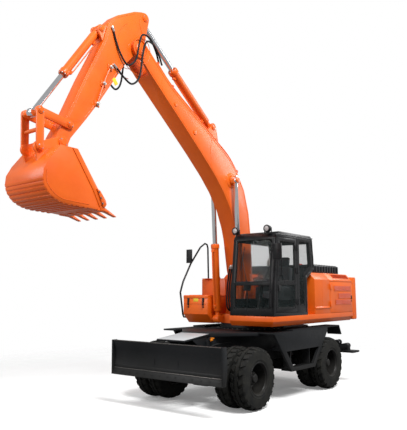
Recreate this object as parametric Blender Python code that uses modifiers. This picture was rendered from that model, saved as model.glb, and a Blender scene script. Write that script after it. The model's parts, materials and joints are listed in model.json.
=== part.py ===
"""Wheeled excavator, raised boom, in metres. +X forward (blade end), +Y to the cab side, +Z up.

The origin is on the ground under the slew axis. Each sub-part is one object in the
collection "wheeled_excavator"; solids that only cut or join others are in "cutters".
Points of side outlines are (x, z), of cross outlines (y, z) and of plan outlines (x, y).
"""
import bpy
import bmesh
from math import atan2, cos, hypot, pi, radians, sin
from mathutils import Matrix, Vector

# ---- fits -------------------------------------------------------------------------------
TOUCH = 0.0003      # gap between pieces that are bolted together
PIN_PLAY = 0.0006   # gap beside a pinned eye
ROD_GUIDE = 0.035   # rod left in its barrel at full reach
BORE_PLAY = 0.004   # gap behind a rod that is all the way in
HINGE_R = 0.012     # radius of a door hinge
PANEL_GAP = 0.006   # gap round a door, a lid or a moving piece

# ---- wheels and axles -------------------------------------------------------------------
FRONT_AXLE_X = 1.69
REAR_AXLE_X = -1.14
TYRE_R = 0.527
TYRE_W = 0.275
TWIN_GAP = 0.06
OVERALL_W = 2.50
RIM_R = 0.27
RIM_WALL = 0.02
WHEEL_MID_Y = OVERALL_W / 2 - TYRE_W - TWIN_GAP / 2
HUB_FACE_Y = WHEEL_MID_Y - 0.015
KINGPIN_Y = 0.78
AXLE_TUBE_R = 0.105
TURNED_STEPS = 24

# ---- chassis ----------------------------------------------------------------------------
FRAME_HALF_W = 0.36
FRAME_FRONT_X = 2.00
FRAME_REAR_X = -2.00
FRAME_BELLY_Z = 0.62
FRAME_ARCH_Z = 0.78
DECK_BOTTOM_Z = 1.20
DECK_TOP_Z = 1.26
DECK_HALF_W = 0.90
SIDE_HALF_W = 1.22
SLEW_RING_R = 0.645
FENDER_T = 0.028
HOUSE_BOTTOM_Z = 1.364

# ---- blade linkage ----------------------------------------------------------------------
BLADE_HALF_W = 1.26
BLADE_BOTTOM_Z = 0.52
BLADE_TOP_Z = 1.13
BLADE_PIN_X = 2.60
BLADE_LOW_PIN_Z = 0.72
BLADE_PIN_RISE = 0.28
BLADE_LINK_L = 0.60
BLADE_LINK_TILT = radians(27)
BLADE_CYL_FOOT = (2.10, 0.97)
BLADE_CYL_HALF = 0.04
BLADE_CYL_TRAVEL = (0.0, 0.378)   # how far the rod goes in and out from its parked place

# ---- outriggers -------------------------------------------------------------------------
OUTRIGGER_X = -2.18
OUTRIGGER_ARM_T = 0.16
OUTRIGGER_CYL_HALF = 0.044
OUTRIGGER_HINGE = (0.42, 0.62)
OUTRIGGER_END = (1.13, 0.80)
OUTRIGGER_CYL_FOOT = (0.20, 1.02)
OUTRIGGER_CYL_EYE = (0.92, 0.865)
OUTRIGGER_CYL_TRAVEL = (0.0, 0.265)

# ---- house ------------------------------------------------------------------------------
HOUSE_HALF_W = 1.22
DECK_PLATE_TOP_Z = 1.55
SKIRT_EDGE_Z = 1.455
SKIRT_IN = 0.075
CAB_SIDE_FRONT_X = 1.158
TOOL_SIDE_FRONT_X = 0.55
MIDDLE_FRONT_X = 0.50
HOUSE_REAR_X = -2.38
BULKHEAD_X = -1.20
SHOULDER_Z = 2.26
ROOF_Z = 2.40
PANEL_T = 0.04
HOOD_TOP_Z = 2.59
HOOD_HALF_W = 0.90
HOOD_FRONT_X = -1.13
HOOD_REAR_X = -2.37
TANK_INNER_Y = -0.54
TANK_FRONT_X = 0.18
TANK_REAR_X = -0.60
TANK_TOP_Z = 2.29
TOOLBOX_FRONT_X = 0.80
TOOLBOX_TOP_Z = 1.90
COUNTERWEIGHT_TOP_Z = 2.34

# ---- cab --------------------------------------------------------------------------------
CAB_INNER_Y = 0.255
CAB_OUTER_Y = 1.22
CAB_WALL = 0.045
CAB_FLOOR_Z = 1.60
DOOR_REAR_X = 0.25
DOOR_T = 0.04

# ---- working equipment ------------------------------------------------------------------
GEAR_Y = -0.15
BOOM_HALF_W = 0.18
ARM_HALF_W = 0.13
BUCKET_HALF_W = 0.45
BOOM_CYL_OFFSET = 0.29
BOOM_CYL_EYE_HALF = 0.05
ARM_CYL_EYE_HALF = 0.065
BUCKET_CYL_EYE_HALF = 0.055
BOOM_CYL_TRAVEL = (0.875, 0.025)
ARM_CYL_TRAVEL = (0.75, 0.40)
BUCKET_CYL_TRAVEL = (0.66, 0.37)
FORK_R = 0.47
ROCKER_SHAFT_R = 0.036
ROCKER_BORE_R = ROCKER_SHAFT_R + 0.0015
LINK_INNER = ARM_HALF_W + 0.038
BOOM_FOOT = (0.13, 2.00)
ARM_PIN = (3.47, 6.16)
BUCKET_PIN = (5.00, 4.17)
BOOM_CYL_FOOT = (0.61, 1.45)
BOOM_CYL_EYE = (0.76, 4.27)
ARM_CYL_FOOT = (1.25, 5.30)
ARM_CYL_EYE = (3.30, 6.80)
BUCKET_CYL_FOOT = (4.27, 6.24)
ROCKER_PIN = (4.88, 4.46)
ROCKER_END = (5.43, 4.54)
BUCKET_LINK_PIN = (5.41, 4.01)

ORANGE = (0.80, 0.17, 0.03)
BLACK = (0.02, 0.02, 0.022)
COLOURS = {
    "orange_paint": (ORANGE, 0.45, 0.0),
    "dark_paint": ((0.035, 0.035, 0.04), 0.55, 0.0),
    "cab_paint": ((0.03, 0.03, 0.033), 0.40, 0.0),
    "tyre_rubber": (BLACK, 0.85, 0.0),
    "rim_paint": ((0.025, 0.025, 0.028), 0.50, 0.2),
    "chrome_rod": ((0.75, 0.75, 0.76), 0.15, 1.0),
    "cast_iron": ((0.10, 0.10, 0.10), 0.60, 0.6),
    "glass": ((0.55, 0.62, 0.62), 0.08, 0.0),
    "seat_fabric": ((0.06, 0.06, 0.065), 0.90, 0.0),
    "trim_plastic": ((0.05, 0.05, 0.055), 0.60, 0.0),
}

for old in list(bpy.data.objects):
    bpy.data.objects.remove(old, do_unlink=True)

parts = bpy.data.collections.new("wheeled_excavator")
cutters = bpy.data.collections.new("cutters")
for made in (parts, cutters):
    bpy.context.scene.collection.children.link(made)


# ---- tools for shapes -------------------------------------------------------------------
def make_material(slot):
    colour, roughness, metallic = COLOURS[slot]
    material = bpy.data.materials.new(slot)
    material.use_nodes = True
    shader = material.node_tree.nodes["Principled BSDF"]
    shader.inputs["Base Color"].default_value = (*colour, 1)
    shader.inputs["Roughness"].default_value = roughness
    shader.inputs["Metallic"].default_value = metallic
    return material


MATERIALS = {slot: make_material(slot) for slot in COLOURS}

# Columns: what local X, Y and Z of an outline become in the machine's frame.
PLANES = {
    "side": Matrix(((1, 0, 0), (0, 0, -1), (0, 1, 0))).to_4x4(),
    "cross": Matrix(((0, 0, 1), (1, 0, 0), (0, 1, 0))).to_4x4(),
    "plan": Matrix.Identity(4),
}
NORMALS = {"side": Vector((0, 1, 0)), "cross": Vector((1, 0, 0)), "plan": Vector((0, 0, 1))}


def hidden(mesh):
    """A helper object that other objects cut with or join."""
    helper = bpy.data.objects.new("cutter", mesh)
    cutters.objects.link(helper)
    helper.hide_render = True
    helper.display_type = "WIRE"
    return helper


def plate(plane, outline, low, high):
    """A flat outline in a plane, solid from low to high along the plane's normal."""
    curve = bpy.data.curves.new("outline", "CURVE")
    curve.dimensions = "2D"
    curve.fill_mode = "BOTH"
    curve.extrude = (high - low) / 2
    spline = curve.splines.new("POLY")
    spline.points.add(len(outline) - 1)
    for point, (u, v) in zip(spline.points, outline):
        point.co = (u, v, 0, 1)
    spline.use_cyclic_u = True
    drawn = bpy.data.objects.new("outline", curve)
    cutters.objects.link(drawn)
    graph = bpy.context.evaluated_depsgraph_get()
    mesh = bpy.data.meshes.new_from_object(drawn.evaluated_get(graph))
    bpy.data.objects.remove(drawn, do_unlink=True)
    middle = NORMALS[plane] * (low + high) / 2
    mesh.transform(Matrix.Translation(middle) @ PLANES[plane])
    shape = bmesh.new()
    shape.from_mesh(mesh)
    bmesh.ops.remove_doubles(shape, verts=shape.verts, dist=1e-5)
    bmesh.ops.recalc_face_normals(shape, faces=shape.faces)
    shape.to_mesh(mesh)
    shape.free()
    return hidden(mesh)


def lofted(lower, upper, low, high):
    """A solid between two plan outlines with the same number of points."""
    solid = plate("plan", upper, low, high)
    for vertex in solid.data.vertices:
        if vertex.co.z < (low + high) / 2:
            nearest = min(range(len(upper)), key=lambda i: (vertex.co.xy - Vector(upper[i])).length)
            vertex.co.x, vertex.co.y = lower[nearest]
    return solid


def block(x, y, z):
    """A box between two values along each axis."""
    spans = [sorted(span) for span in (x, y, z)]
    shape = bmesh.new()
    bmesh.ops.create_cube(shape, size=1)
    size = Matrix.Diagonal([high - low for low, high in spans] + [1])
    middle = Vector([(low + high) / 2 for low, high in spans])
    bmesh.ops.transform(shape, matrix=Matrix.Translation(middle) @ size, verts=shape.verts)
    mesh = bpy.data.meshes.new("block")
    shape.to_mesh(mesh)
    shape.free()
    return hidden(mesh)


def bar(start, end, radius, sides=14, end_radius=None):
    """A round bar or cone between two points."""
    start, end = Vector(start), Vector(end)
    run = end - start
    turn = run.to_track_quat("Z", "Y").to_matrix().to_4x4()
    shape = bmesh.new()
    bmesh.ops.create_cone(
        shape,
        cap_ends=True,
        segments=sides,
        radius1=radius,
        radius2=radius if end_radius is None else end_radius,
        depth=run.length,
    )
    placed = Matrix.Translation((start + end) / 2) @ turn
    bmesh.ops.transform(shape, matrix=placed, verts=shape.verts)
    mesh = bpy.data.meshes.new("bar")
    shape.to_mesh(mesh)
    shape.free()
    return hidden(mesh)


def disc(centre, radius, low, high, sides=16):
    """A round disc about an axis along Y; centre is (x, z)."""
    return bar((centre[0], low, centre[1]), (centre[0], high, centre[1]), radius, sides)


def turned(profile, centre, side, steps=TURNED_STEPS):
    """A profile of (radius, distance outward) turned about a wheel's axis."""
    mesh = bpy.data.meshes.new("profile")
    closed = profile[0][0] > 0
    count = len(profile)
    edges = [(i, (i + 1) % count) for i in range(count if closed else count - 1)]
    mesh.from_pydata([(radius, 0, out) for radius, out in profile], edges, [])
    turned_piece = hidden(mesh)
    turned_piece.rotation_euler.x = -side * pi / 2
    turned_piece.location = centre
    screw = turned_piece.modifiers.new("Screw", "SCREW")
    screw.axis = "Z"
    screw.steps = screw.render_steps = steps
    screw.use_merge_vertices = True
    screw.merge_threshold = 0.0001
    screw.use_smooth_shade = False
    return turned_piece


def tube(points, radius):
    """A bent tube through points, as a mesh with welded end caps."""
    curve = bpy.data.curves.new("tube", "CURVE")
    curve.dimensions = "3D"
    curve.bevel_depth = radius
    curve.bevel_resolution = 1
    curve.use_fill_caps = True
    spline = curve.splines.new("POLY")
    spline.points.add(len(points) - 1)
    for point, place in zip(spline.points, points):
        point.co = (*place, 1)
    drawn = bpy.data.objects.new("tube", curve)
    cutters.objects.link(drawn)
    graph = bpy.context.evaluated_depsgraph_get()
    mesh = bpy.data.meshes.new_from_object(drawn.evaluated_get(graph))
    bpy.data.objects.remove(drawn, do_unlink=True)
    shape = bmesh.new()
    shape.from_mesh(mesh)
    bmesh.ops.remove_doubles(shape, verts=shape.verts, dist=1e-5)
    bmesh.ops.recalc_face_normals(shape, faces=shape.faces)
    shape.to_mesh(mesh)
    shape.free()
    return hidden(mesh)


def arc(centre, radius, start, end, count):
    """Points of an arc, with angles in degrees."""
    angles = [radians(start + (end - start) * i / (count - 1)) for i in range(count)]
    return [(centre[0] + radius * cos(a), centre[1] + radius * sin(a)) for a in angles]


def slotted_arm(start, end, start_r, end_r, count=6):
    """The outline of a bar with round ends between two pins."""
    heading = atan2(end[1] - start[1], end[0] - start[0]) * 180 / pi
    return (arc(start, start_r, heading + 90, heading + 270, count)
            + arc(end, end_r, heading - 90, heading + 90, count))


def piece(name, slot, solids, cuts=(), pivot=(0, 0, 0), parent=None, bevel=0, solver="EXACT"):
    """One named sub-part: the first solid joined with the others, less the cuts."""
    made = solids[0]
    made.name = name
    cutters.objects.unlink(made)
    parts.objects.link(made)
    made.hide_render = False
    made.display_type = "TEXTURED"
    made.data.materials.append(MATERIALS[slot])
    if bevel:
        add_bevel(made, bevel)
    for operation, others in (("UNION", solids[1:]), ("DIFFERENCE", cuts)):
        for other in others:
            boolean = made.modifiers.new(operation.title(), "BOOLEAN")
            boolean.operation = operation
            boolean.solver = solver
            boolean.object = other
    if not any(modifier.type == "SCREW" for modifier in made.modifiers):
        made.data.transform(Matrix.Translation(-Vector(pivot)))
        made.location = pivot
    if parent:
        offset = PIVOTS[parent.name]
        made.parent = parent
        made.location = Vector(made.location) - offset
    PIVOTS[name] = Vector(pivot)
    return made


PIVOTS = {}


def add_bevel(target, width, segments=2):
    bevel = target.modifiers.new("Bevel", "BEVEL")
    bevel.width = width
    bevel.segments = segments
    bevel.limit_method = "ANGLE"
    bevel.angle_limit = radians(35)


def add_union(target, others, solver="MANIFOLD"):
    """Joins more solids to a piece after its cuts."""
    for other in others:
        boolean = target.modifiers.new("Union", "BOOLEAN")
        boolean.operation = "UNION"
        boolean.solver = solver
        boolean.object = other


def at_y(point, y=GEAR_Y):
    return (point[0], y, point[1])


def along(start, end, distance):
    """The point at a distance from start towards end, both (a, b) pairs."""
    length = hypot(end[0] - start[0], end[1] - start[1])
    share = distance / length
    return (start[0] + (end[0] - start[0]) * share, start[1] + (end[1] - start[1]) * share)


def length_of(start, end):
    return hypot(end[0] - start[0], end[1] - start[1])


def mirrored(outline):
    """A half outline of (along, across) completed by its mirror image in across = 0."""
    return outline + [(u, -v) for u, v in reversed(outline) if abs(v) > 1e-6]


# ---- undercarriage ----------------------------------------------------------------------
def build_chassis():
    arch = 0.31
    beam = [(FRAME_FRONT_X, FRAME_BELLY_Z), (FRAME_FRONT_X, 1.13), (1.86, DECK_BOTTOM_Z + 0.02),
            (-1.75, DECK_BOTTOM_Z + 0.02), (FRAME_REAR_X, 1.10), (FRAME_REAR_X, FRAME_BELLY_Z)]
    for axle_x in (REAR_AXLE_X, FRONT_AXLE_X):
        beam += [(axle_x - arch - 0.08, FRAME_BELLY_Z), (axle_x - arch, FRAME_ARCH_Z),
                 (axle_x + arch, FRAME_ARCH_Z), (axle_x + arch + 0.08, FRAME_BELLY_Z)]
    beam = [point for point in beam if point[0] <= FRAME_FRONT_X]
    top = mirrored([(1.90, 0.36), (1.78, 0.40), (1.20, DECK_HALF_W), (-0.98, DECK_HALF_W),
                    (-1.62, 0.40), (-1.80, 0.36)])
    lug = [(1.90, 0.80), (1.90, 0.62), (2.00, 0.385), (2.10, 0.385), (2.13, 0.45), (2.13, 0.80)]
    foot = [(1.95, 1.07), (1.95, 0.88), (2.12, 0.91), (2.16, 0.97), (2.12, 1.03)]
    solids = [plate("side", beam, -FRAME_HALF_W, FRAME_HALF_W),
              plate("plan", top, DECK_BOTTOM_Z, DECK_TOP_Z - TOUCH)]
    for side in (-1, 1):
        solids.append(plate("side", lug, *sorted((side * 0.25, side * 0.29))))
        near = side * (BLADE_CYL_HALF + PIN_PLAY)
        solids.append(plate("side", foot, *sorted((near, near + side * 0.03))))
    chassis = piece("chassis_frame", "dark_paint", solids + nose_solids() + outrigger_bracket(),
                    solver="MANIFOLD")
    ring = turned([(SLEW_RING_R, HOUSE_BOTTOM_Z - TOUCH), (SLEW_RING_R, DECK_TOP_Z - 0.02),
                   (SLEW_RING_R - 0.12, DECK_TOP_Z - 0.02),
                   (SLEW_RING_R - 0.12, HOUSE_BOTTOM_Z - TOUCH)], (0, 0, 0), 0, 32)
    add_union(chassis, [ring])
    return chassis


def nose_solids():
    """The sloped cover over the blade linkage and its two gussets."""
    cover = [(1.80, 1.251), (1.87, 1.251), (2.58, 1.174), (2.58, 1.144), (1.999, 1.207),
             (1.80, 1.21)]
    gusset = [(1.95, 1.20), (2.36, 1.165), (1.95, 0.90)]
    solids = [plate("side", cover, -0.32, 0.32)]
    for side in (-1, 1):
        solids.append(plate("side", gusset, *sorted((side * 0.30, side * 0.32))))
    return solids


def outrigger_bracket():
    """Two cross plates behind the frame, tied in the middle, that hold the outriggers."""
    wall = OUTRIGGER_ARM_T / 2 + PIN_PLAY
    outline = [(-0.50, 0.52), (0.50, 0.52), (0.52, 0.74), (0.30, 1.10), (-0.30, 1.10),
               (-0.52, 0.74)]
    plates = [(OUTRIGGER_X - wall - 0.045, OUTRIGGER_X - wall),
              (OUTRIGGER_X + wall, FRAME_REAR_X + 0.02)]
    solids = [plate("cross", outline, low, high) for low, high in plates]
    solids.append(block((OUTRIGGER_X - wall - 0.02, FRAME_REAR_X), (-0.06, 0.06), (0.53, 1.09)))
    return solids


def build_steps(name, side, front_x, chassis):
    """The step frame between the wheels with its deck, on one side."""
    outer, inner = side * SIDE_HALF_W, side * (SIDE_HALF_W - 0.05)
    frame = [(1.15, DECK_TOP_Z), (0.52, 0.52), (-0.43, 0.52), (-1.03, 1.20), (-1.03, DECK_TOP_Z)]
    window = [(0.70, 0.90), (0.44, 0.59), (-0.36, 0.59), (-0.63, 0.90)]
    deck = [(front_x, DECK_TOP_Z - 0.03), (-1.03, DECK_TOP_Z - 0.03),
            (-1.03, DECK_TOP_Z), (front_x, DECK_TOP_Z)]
    high = DECK_TOP_Z + FENDER_T
    bent = [(0.45, DECK_TOP_Z - 0.01), (0.45, high), (-1.61, high), (-1.72, 1.09), (-1.69, 1.08),
            (-1.59, DECK_TOP_Z + 0.002), (-1.03, DECK_TOP_Z + 0.002), (-1.03, DECK_TOP_Z - 0.01)]
    spans = [sorted((outer, inner)), sorted((outer, side * 0.98))]
    solids = [plate("side", frame, *spans[0]),
              plate("side", bent, *sorted((outer, side * (DECK_HALF_W + TOUCH)))),
              plate("side", deck, *sorted((outer, side * (DECK_HALF_W + TOUCH)))),
              block((0.86, -0.72), spans[1], (0.92, 0.97)),
              block((0.50, -0.41), spans[1], (0.52, 0.57))]
    for x in (0.40, -0.36):
        solids.append(block((x, x + 0.03), spans[1], (0.54, DECK_TOP_Z - 0.01)))
    holes = [plate("side", window, *sorted((side * 1.3, side * (SIDE_HALF_W - 0.08))))]
    piece(name, "dark_paint", solids, holes, parent=chassis)


def axle_solids(x, reach):
    """A tube with a differential and the saddle that meets the frame."""
    z = TYRE_R
    return [bar((x, -reach, z), (x, reach, z), AXLE_TUBE_R),
            bar((x, -0.24, z), (x, 0.24, z), 0.20, 24),
            bar((x, -0.14, z), (x, 0.14, z), 0.23, 24),
            block((x - 0.17, x + 0.17), (-0.20, 0.20), (z, FRAME_ARCH_Z - TOUCH))]


def build_front_axle(chassis):
    x, z = FRONT_AXLE_X, TYRE_R
    solids = axle_solids(x, 0.70)
    for side in (-1, 1):
        solids.append(block((x - 0.07, x + 0.07), (side * 0.67, side * 0.715), (z - 0.16, z + 0.16)))
        for level in (-1, 1):
            solids.append(block((x - 0.06, x + 0.06), (side * 0.69, side * 0.84),
                                (z + level * 0.12, z + level * 0.16)))
    solids.append(bar((x - 0.22, -0.34, z), (x - 0.22, 0.34, z), 0.045))
    solids.append(block((x - 0.24, x), (-0.10, 0.10), (z - 0.05, z + 0.05)))
    return piece("front_axle", "dark_paint", solids, parent=chassis)


def build_rear_axle(chassis):
    x, z = REAR_AXLE_X, TYRE_R
    solids = axle_solids(x, 0.80)
    for side in (-1, 1):
        solids.append(bar((x, side * 0.60, z), (x, side * HUB_FACE_Y, z), 0.15, 24))
    return piece("rear_axle", "dark_paint", solids, parent=chassis)


def build_knuckle(name, side, chassis):
    x, z = FRONT_AXLE_X, TYRE_R
    kingpin = (x, side * KINGPIN_Y, z)
    half = 0.12 - TOUCH
    solids = [bar((x, side * KINGPIN_Y, z - half), (x, side * KINGPIN_Y, z + half), 0.055),
              bar((x, side * KINGPIN_Y, z), (x, side * HUB_FACE_Y, z), 0.07),
              bar((x, side * (HUB_FACE_Y - 0.035), z), (x, side * HUB_FACE_Y, z), 0.13, 24)]
    return piece(name, "dark_paint", solids, pivot=kingpin, parent=chassis)


def tyre_profile():
    """Two tyres and the ring between them, about their middle plane."""
    edge, wall = TWIN_GAP / 2, TYRE_W
    flank = [(RIM_R, 0.94), (0.36, 1.0), (0.45, 0.99), (0.51, 0.91), (TYRE_R, 0.76),
             (TYRE_R, 0.24), (0.51, 0.09), (0.45, 0.01), (0.36, 0.0), (RIM_R + 0.02, 0.04)]
    outer = [(radius, edge + wall * share) for radius, share in flank]
    return outer + [(radius, -out) for radius, out in reversed(outer)]


def rim_profile():
    band, seat = RIM_R - RIM_WALL, RIM_R - TOUCH
    reach = TWIN_GAP / 2 + TYRE_W - 0.005
    return [(0, 0.225), (0.075, 0.225), (0.085, 0.185), (0.135, 0.165), (0.155, 0.02),
            (band, 0.02), (band, reach), (seat, reach), (seat, -reach), (band, -reach),
            (band, -0.015 + TOUCH), (0, -0.015 + TOUCH)]


def build_wheel(corner, x, side, carrier):
    centre = (x, side * WHEEL_MID_Y, TYRE_R)
    for name, slot, profile in ((f"wheel_rim_{corner}", "rim_paint", rim_profile()),
                                (f"tyres_{corner}", "tyre_rubber", tyre_profile())):
        solid = turned(profile, centre, side)
        piece(name, slot, [solid], pivot=(0, 0, 0))
        solid.parent = carrier
        solid.location = Vector(centre) - PIVOTS[carrier.name]


# ---- blade ------------------------------------------------------------------------------
LINK_RUN = BLADE_LINK_L * cos(BLADE_LINK_TILT)
LINK_RISE = BLADE_LINK_L * sin(BLADE_LINK_TILT)
BLADE_LOW_PIN = (BLADE_PIN_X, BLADE_LOW_PIN_Z)
BLADE_HIGH_PIN = (BLADE_PIN_X, BLADE_LOW_PIN_Z + BLADE_PIN_RISE)
FRAME_LOW_PIN = (BLADE_PIN_X - LINK_RUN, BLADE_LOW_PIN_Z - LINK_RISE)
FRAME_HIGH_PIN = (BLADE_PIN_X - LINK_RUN, BLADE_LOW_PIN_Z + BLADE_PIN_RISE - LINK_RISE)


def build_blade(chassis):
    low, high = BLADE_BOTTOM_Z, BLADE_TOP_Z
    board = ([(2.765, low), (2.725, low + 0.12)] + [(2.70, low + 0.28), (2.715, low + 0.46)]
             + [(2.765, high), (2.72, high), (2.67, low + 0.46), (2.655, low + 0.28),
                (2.68, low + 0.12), (2.725, low)])
    lug = [(2.70, 1.06), (2.60, 1.05), (2.555, 1.00), (2.555, 0.72), (2.60, 0.665), (2.72, 0.60)]
    end = [(2.765, low), (2.775, high), (2.66, high), (2.64, 0.80), (2.68, low)]
    solids = [plate("side", board, -BLADE_HALF_W, BLADE_HALF_W),
              block((2.635, 2.69), (-1.15, 1.15), (0.86, 0.95)),
              block((2.655, 2.72), (-1.15, 1.15), (0.60, 0.66))]
    for side in (-1, 1):
        solids.append(plate("side", lug, *sorted((side * 0.25, side * 0.29))))
        solids.append(plate("side", end, *sorted((side * (BLADE_HALF_W - 0.03), side * BLADE_HALF_W))))
    return piece("blade", "dark_paint", solids, pivot=at_y(BLADE_LOW_PIN, 0), parent=chassis)


def build_blade_links(chassis):
    """Lower arms outside the lugs, upper links inside them, each pair tied across."""
    rows = (("blade_arms", FRAME_LOW_PIN, BLADE_LOW_PIN, 0.29, 0.05, 0.17),
            ("blade_top_link", FRAME_HIGH_PIN, BLADE_HIGH_PIN, 0.21, 0.04, 0.51))
    for name, start, end, lug_face, radius, tie_at in rows:
        outline = slotted_arm(start, end, radius, radius)
        solids = []
        for side in (-1, 1):
            if name == "blade_arms":
                span = (side * (lug_face + PIN_PLAY), side * (lug_face + 0.045))
            else:
                span = (side * lug_face, side * (0.25 - PIN_PLAY))
            solids.append(plate("side", outline, *sorted(span)))
        tie = along(start, end, tie_at)
        solids.append(bar((tie[0], -lug_face - 0.01, tie[1]), (tie[0], lug_face + 0.01, tie[1]), 0.03))
        piece(name, "dark_paint", solids, pivot=at_y(start, 0), parent=chassis)


def cylinder_pair(prefix, foot, eye, y, sizes, travel, parent, paint="orange_paint", plane="side"):
    """A hydraulic cylinder from its foot pin to its rod eye, as a bored barrel and a rod.

    sizes holds barrel radius, rod radius, barrel start and gland distances from the foot,
    eye radius and half the width of both eyes. travel holds how far the rod goes in and out
    from here. The plane is "side" for (x, z) points at height y across, or "cross" for
    (y, z) points at x = y.
    """
    barrel_r, rod_r, back, gland, eye_r, half = sizes
    inward, outward = travel

    def place(point):
        return (point[0], y, point[1]) if plane == "side" else (y, point[0], point[1])

    def eye_at(point):
        normal = NORMALS[plane] * half
        centre = Vector(place(point))
        return bar(centre - normal, centre + normal, eye_r, 16)

    total = length_of(foot, eye)
    head = along(foot, eye, gland)
    collar = along(foot, eye, gland - 0.06)
    rod_end = gland - ROD_GUIDE - outward
    rod_start = along(foot, eye, rod_end)
    bore_start = along(foot, eye, rod_end - inward - BORE_PLAY)
    neck_end = along(foot, eye, back + 0.02)
    barrel_solids = [bar(place(along(foot, eye, back)), place(head), barrel_r),
                     bar(place(along(foot, eye, eye_r * 0.5)), place(neck_end), half * 0.9, 16),
                     bar(place(collar), place(head), barrel_r * 1.12),
                     eye_at(foot)]
    bore = bar(place(bore_start), place(along(foot, eye, gland + 0.05)), rod_r + PIN_PLAY)
    barrel = piece(f"{prefix}_barrel", paint, barrel_solids, [bore], pivot=place(foot),
                   parent=parent)
    rod_solids = [bar(place(rod_start), place(along(foot, eye, total - eye_r * 0.5)), rod_r),
                  eye_at(eye)]
    piece(f"{prefix}_rod", "chrome_rod", rod_solids, pivot=place(eye), parent=parent)
    return barrel


# ---- outriggers -------------------------------------------------------------------------
def build_outriggers(chassis):
    """Each arm with its foot plate, and the cylinder that lifts it."""
    half, gap = OUTRIGGER_ARM_T / 2, OUTRIGGER_CYL_HALF + PIN_PLAY
    end_y, end_z = OUTRIGGER_END
    for side, label in ((1, "left"), (-1, "right")):
        hinge, end, eye, foot = [(side * y, z) for y, z in (
            OUTRIGGER_HINGE, OUTRIGGER_END, OUTRIGGER_CYL_EYE, OUTRIGGER_CYL_FOOT)]
        arm = slotted_arm(hinge, end, 0.085, 0.06)
        ends = [(OUTRIGGER_X + edge, eye[0], eye[1]) for edge in (-half, half)]
        slot_ends = [(OUTRIGGER_X + edge, eye[0], eye[1]) for edge in (-gap, gap)]
        slot = [(side * y, z) for y, z in ((0.66, 0.74), (0.92, 0.81), (0.92, 1.0), (0.60, 1.0))]
        solids = [plate("cross", arm, OUTRIGGER_X - half, OUTRIGGER_X + half),
                  bar(*ends, 0.062),
                  block((OUTRIGGER_X - 0.17, OUTRIGGER_X + 0.17),
                        (side * (end_y - 0.16), side * (end_y + 0.22)),
                        (end_z - 0.14, end_z - 0.10)),
                  block((OUTRIGGER_X - 0.07, OUTRIGGER_X + 0.07),
                        (side * (end_y - 0.05), side * (end_y + 0.05)), (end_z - 0.11, end_z))]
        cuts = [bar(*slot_ends, 0.066),
                plate("cross", slot, OUTRIGGER_X - gap, OUTRIGGER_X + gap)]
        piece(f"outrigger_arm_{label}", "dark_paint", solids, cuts,
              pivot=(OUTRIGGER_X, *hinge), parent=chassis)
        cylinder_pair(f"outrigger_cylinder_{label}", foot, eye, OUTRIGGER_X,
                      (0.0315, 0.020, 0.125, 0.52, 0.045, OUTRIGGER_CYL_HALF), OUTRIGGER_CYL_TRAVEL,
                      chassis, "dark_paint", "cross")


# ---- house ------------------------------------------------------------------------------
def build_house_frame():
    low, high = HOUSE_BOTTOM_Z, DECK_PLATE_TOP_Z
    cylinder_y = [GEAR_Y + BOOM_CYL_OFFSET, GEAR_Y - BOOM_CYL_OFFSET]
    outline = [(CAB_SIDE_FRONT_X, HOUSE_HALF_W), (HOUSE_REAR_X, HOUSE_HALF_W),
               (HOUSE_REAR_X, -HOUSE_HALF_W), (TOOL_SIDE_FRONT_X, -HOUSE_HALF_W),
               (TOOL_SIDE_FRONT_X, -0.56), (MIDDLE_FRONT_X, -0.56), (MIDDLE_FRONT_X, 0.245),
               (CAB_SIDE_FRONT_X, 0.245)]
    sloped = [(x - (SKIRT_IN if x == CAB_SIDE_FRONT_X else 0),
               y - (SKIRT_IN if y == HOUSE_HALF_W else -SKIRT_IN if y == -HOUSE_HALF_W else 0))
              for x, y in outline]
    solids = [plate("plan", outline, SKIRT_EDGE_Z, high), lofted(sloped, outline, low, SKIRT_EDGE_Z)]
    foot_x, foot_z = BOOM_FOOT
    cheek = ([(-0.42, high - 0.02), (0.44, high - 0.02), (0.36, 1.85)]
             + arc(BOOM_FOOT, 0.17, 10, 160, 7))
    for side in (-1, 1):
        inner = GEAR_Y + side * (BOOM_HALF_W + PIN_PLAY)
        solids.append(plate("side", cheek, *sorted((inner, inner + side * 0.035))))
    lug = ([(MIDDLE_FRONT_X - 0.12, low + 0.02), (MIDDLE_FRONT_X + 0.06, low + 0.005)]
           + arc(BOOM_CYL_FOOT, 0.085, -60, 120, 7) + [(MIDDLE_FRONT_X - 0.12, high - 0.01)])
    for y in cylinder_y:
        for side in (-1, 1):
            near = y + side * (BOOM_CYL_EYE_HALF + PIN_PLAY)
            solids.append(plate("side", lug, *sorted((near, near + side * 0.02))))
    solids.append(block((BULKHEAD_X + 0.02 + TOUCH, -0.40), (TANK_INNER_Y + TOUCH, 0.345 - TOUCH),
                        (high - 0.02, 2.20)))
    return piece("house_frame", "orange_paint", solids, solver="MANIFOLD")


def body_section(inner_y, side):
    """The cross outline of the body behind the cab, with its sloped shoulder."""
    low = DECK_PLATE_TOP_Z + TOUCH
    section = [(inner_y, low), (HOUSE_HALF_W, low), (HOUSE_HALF_W, SHOULDER_Z),
               (HOUSE_HALF_W - 0.14, ROOF_Z), (inner_y, ROOF_Z)]
    return [(side * y, z) for y, z in section]


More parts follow.
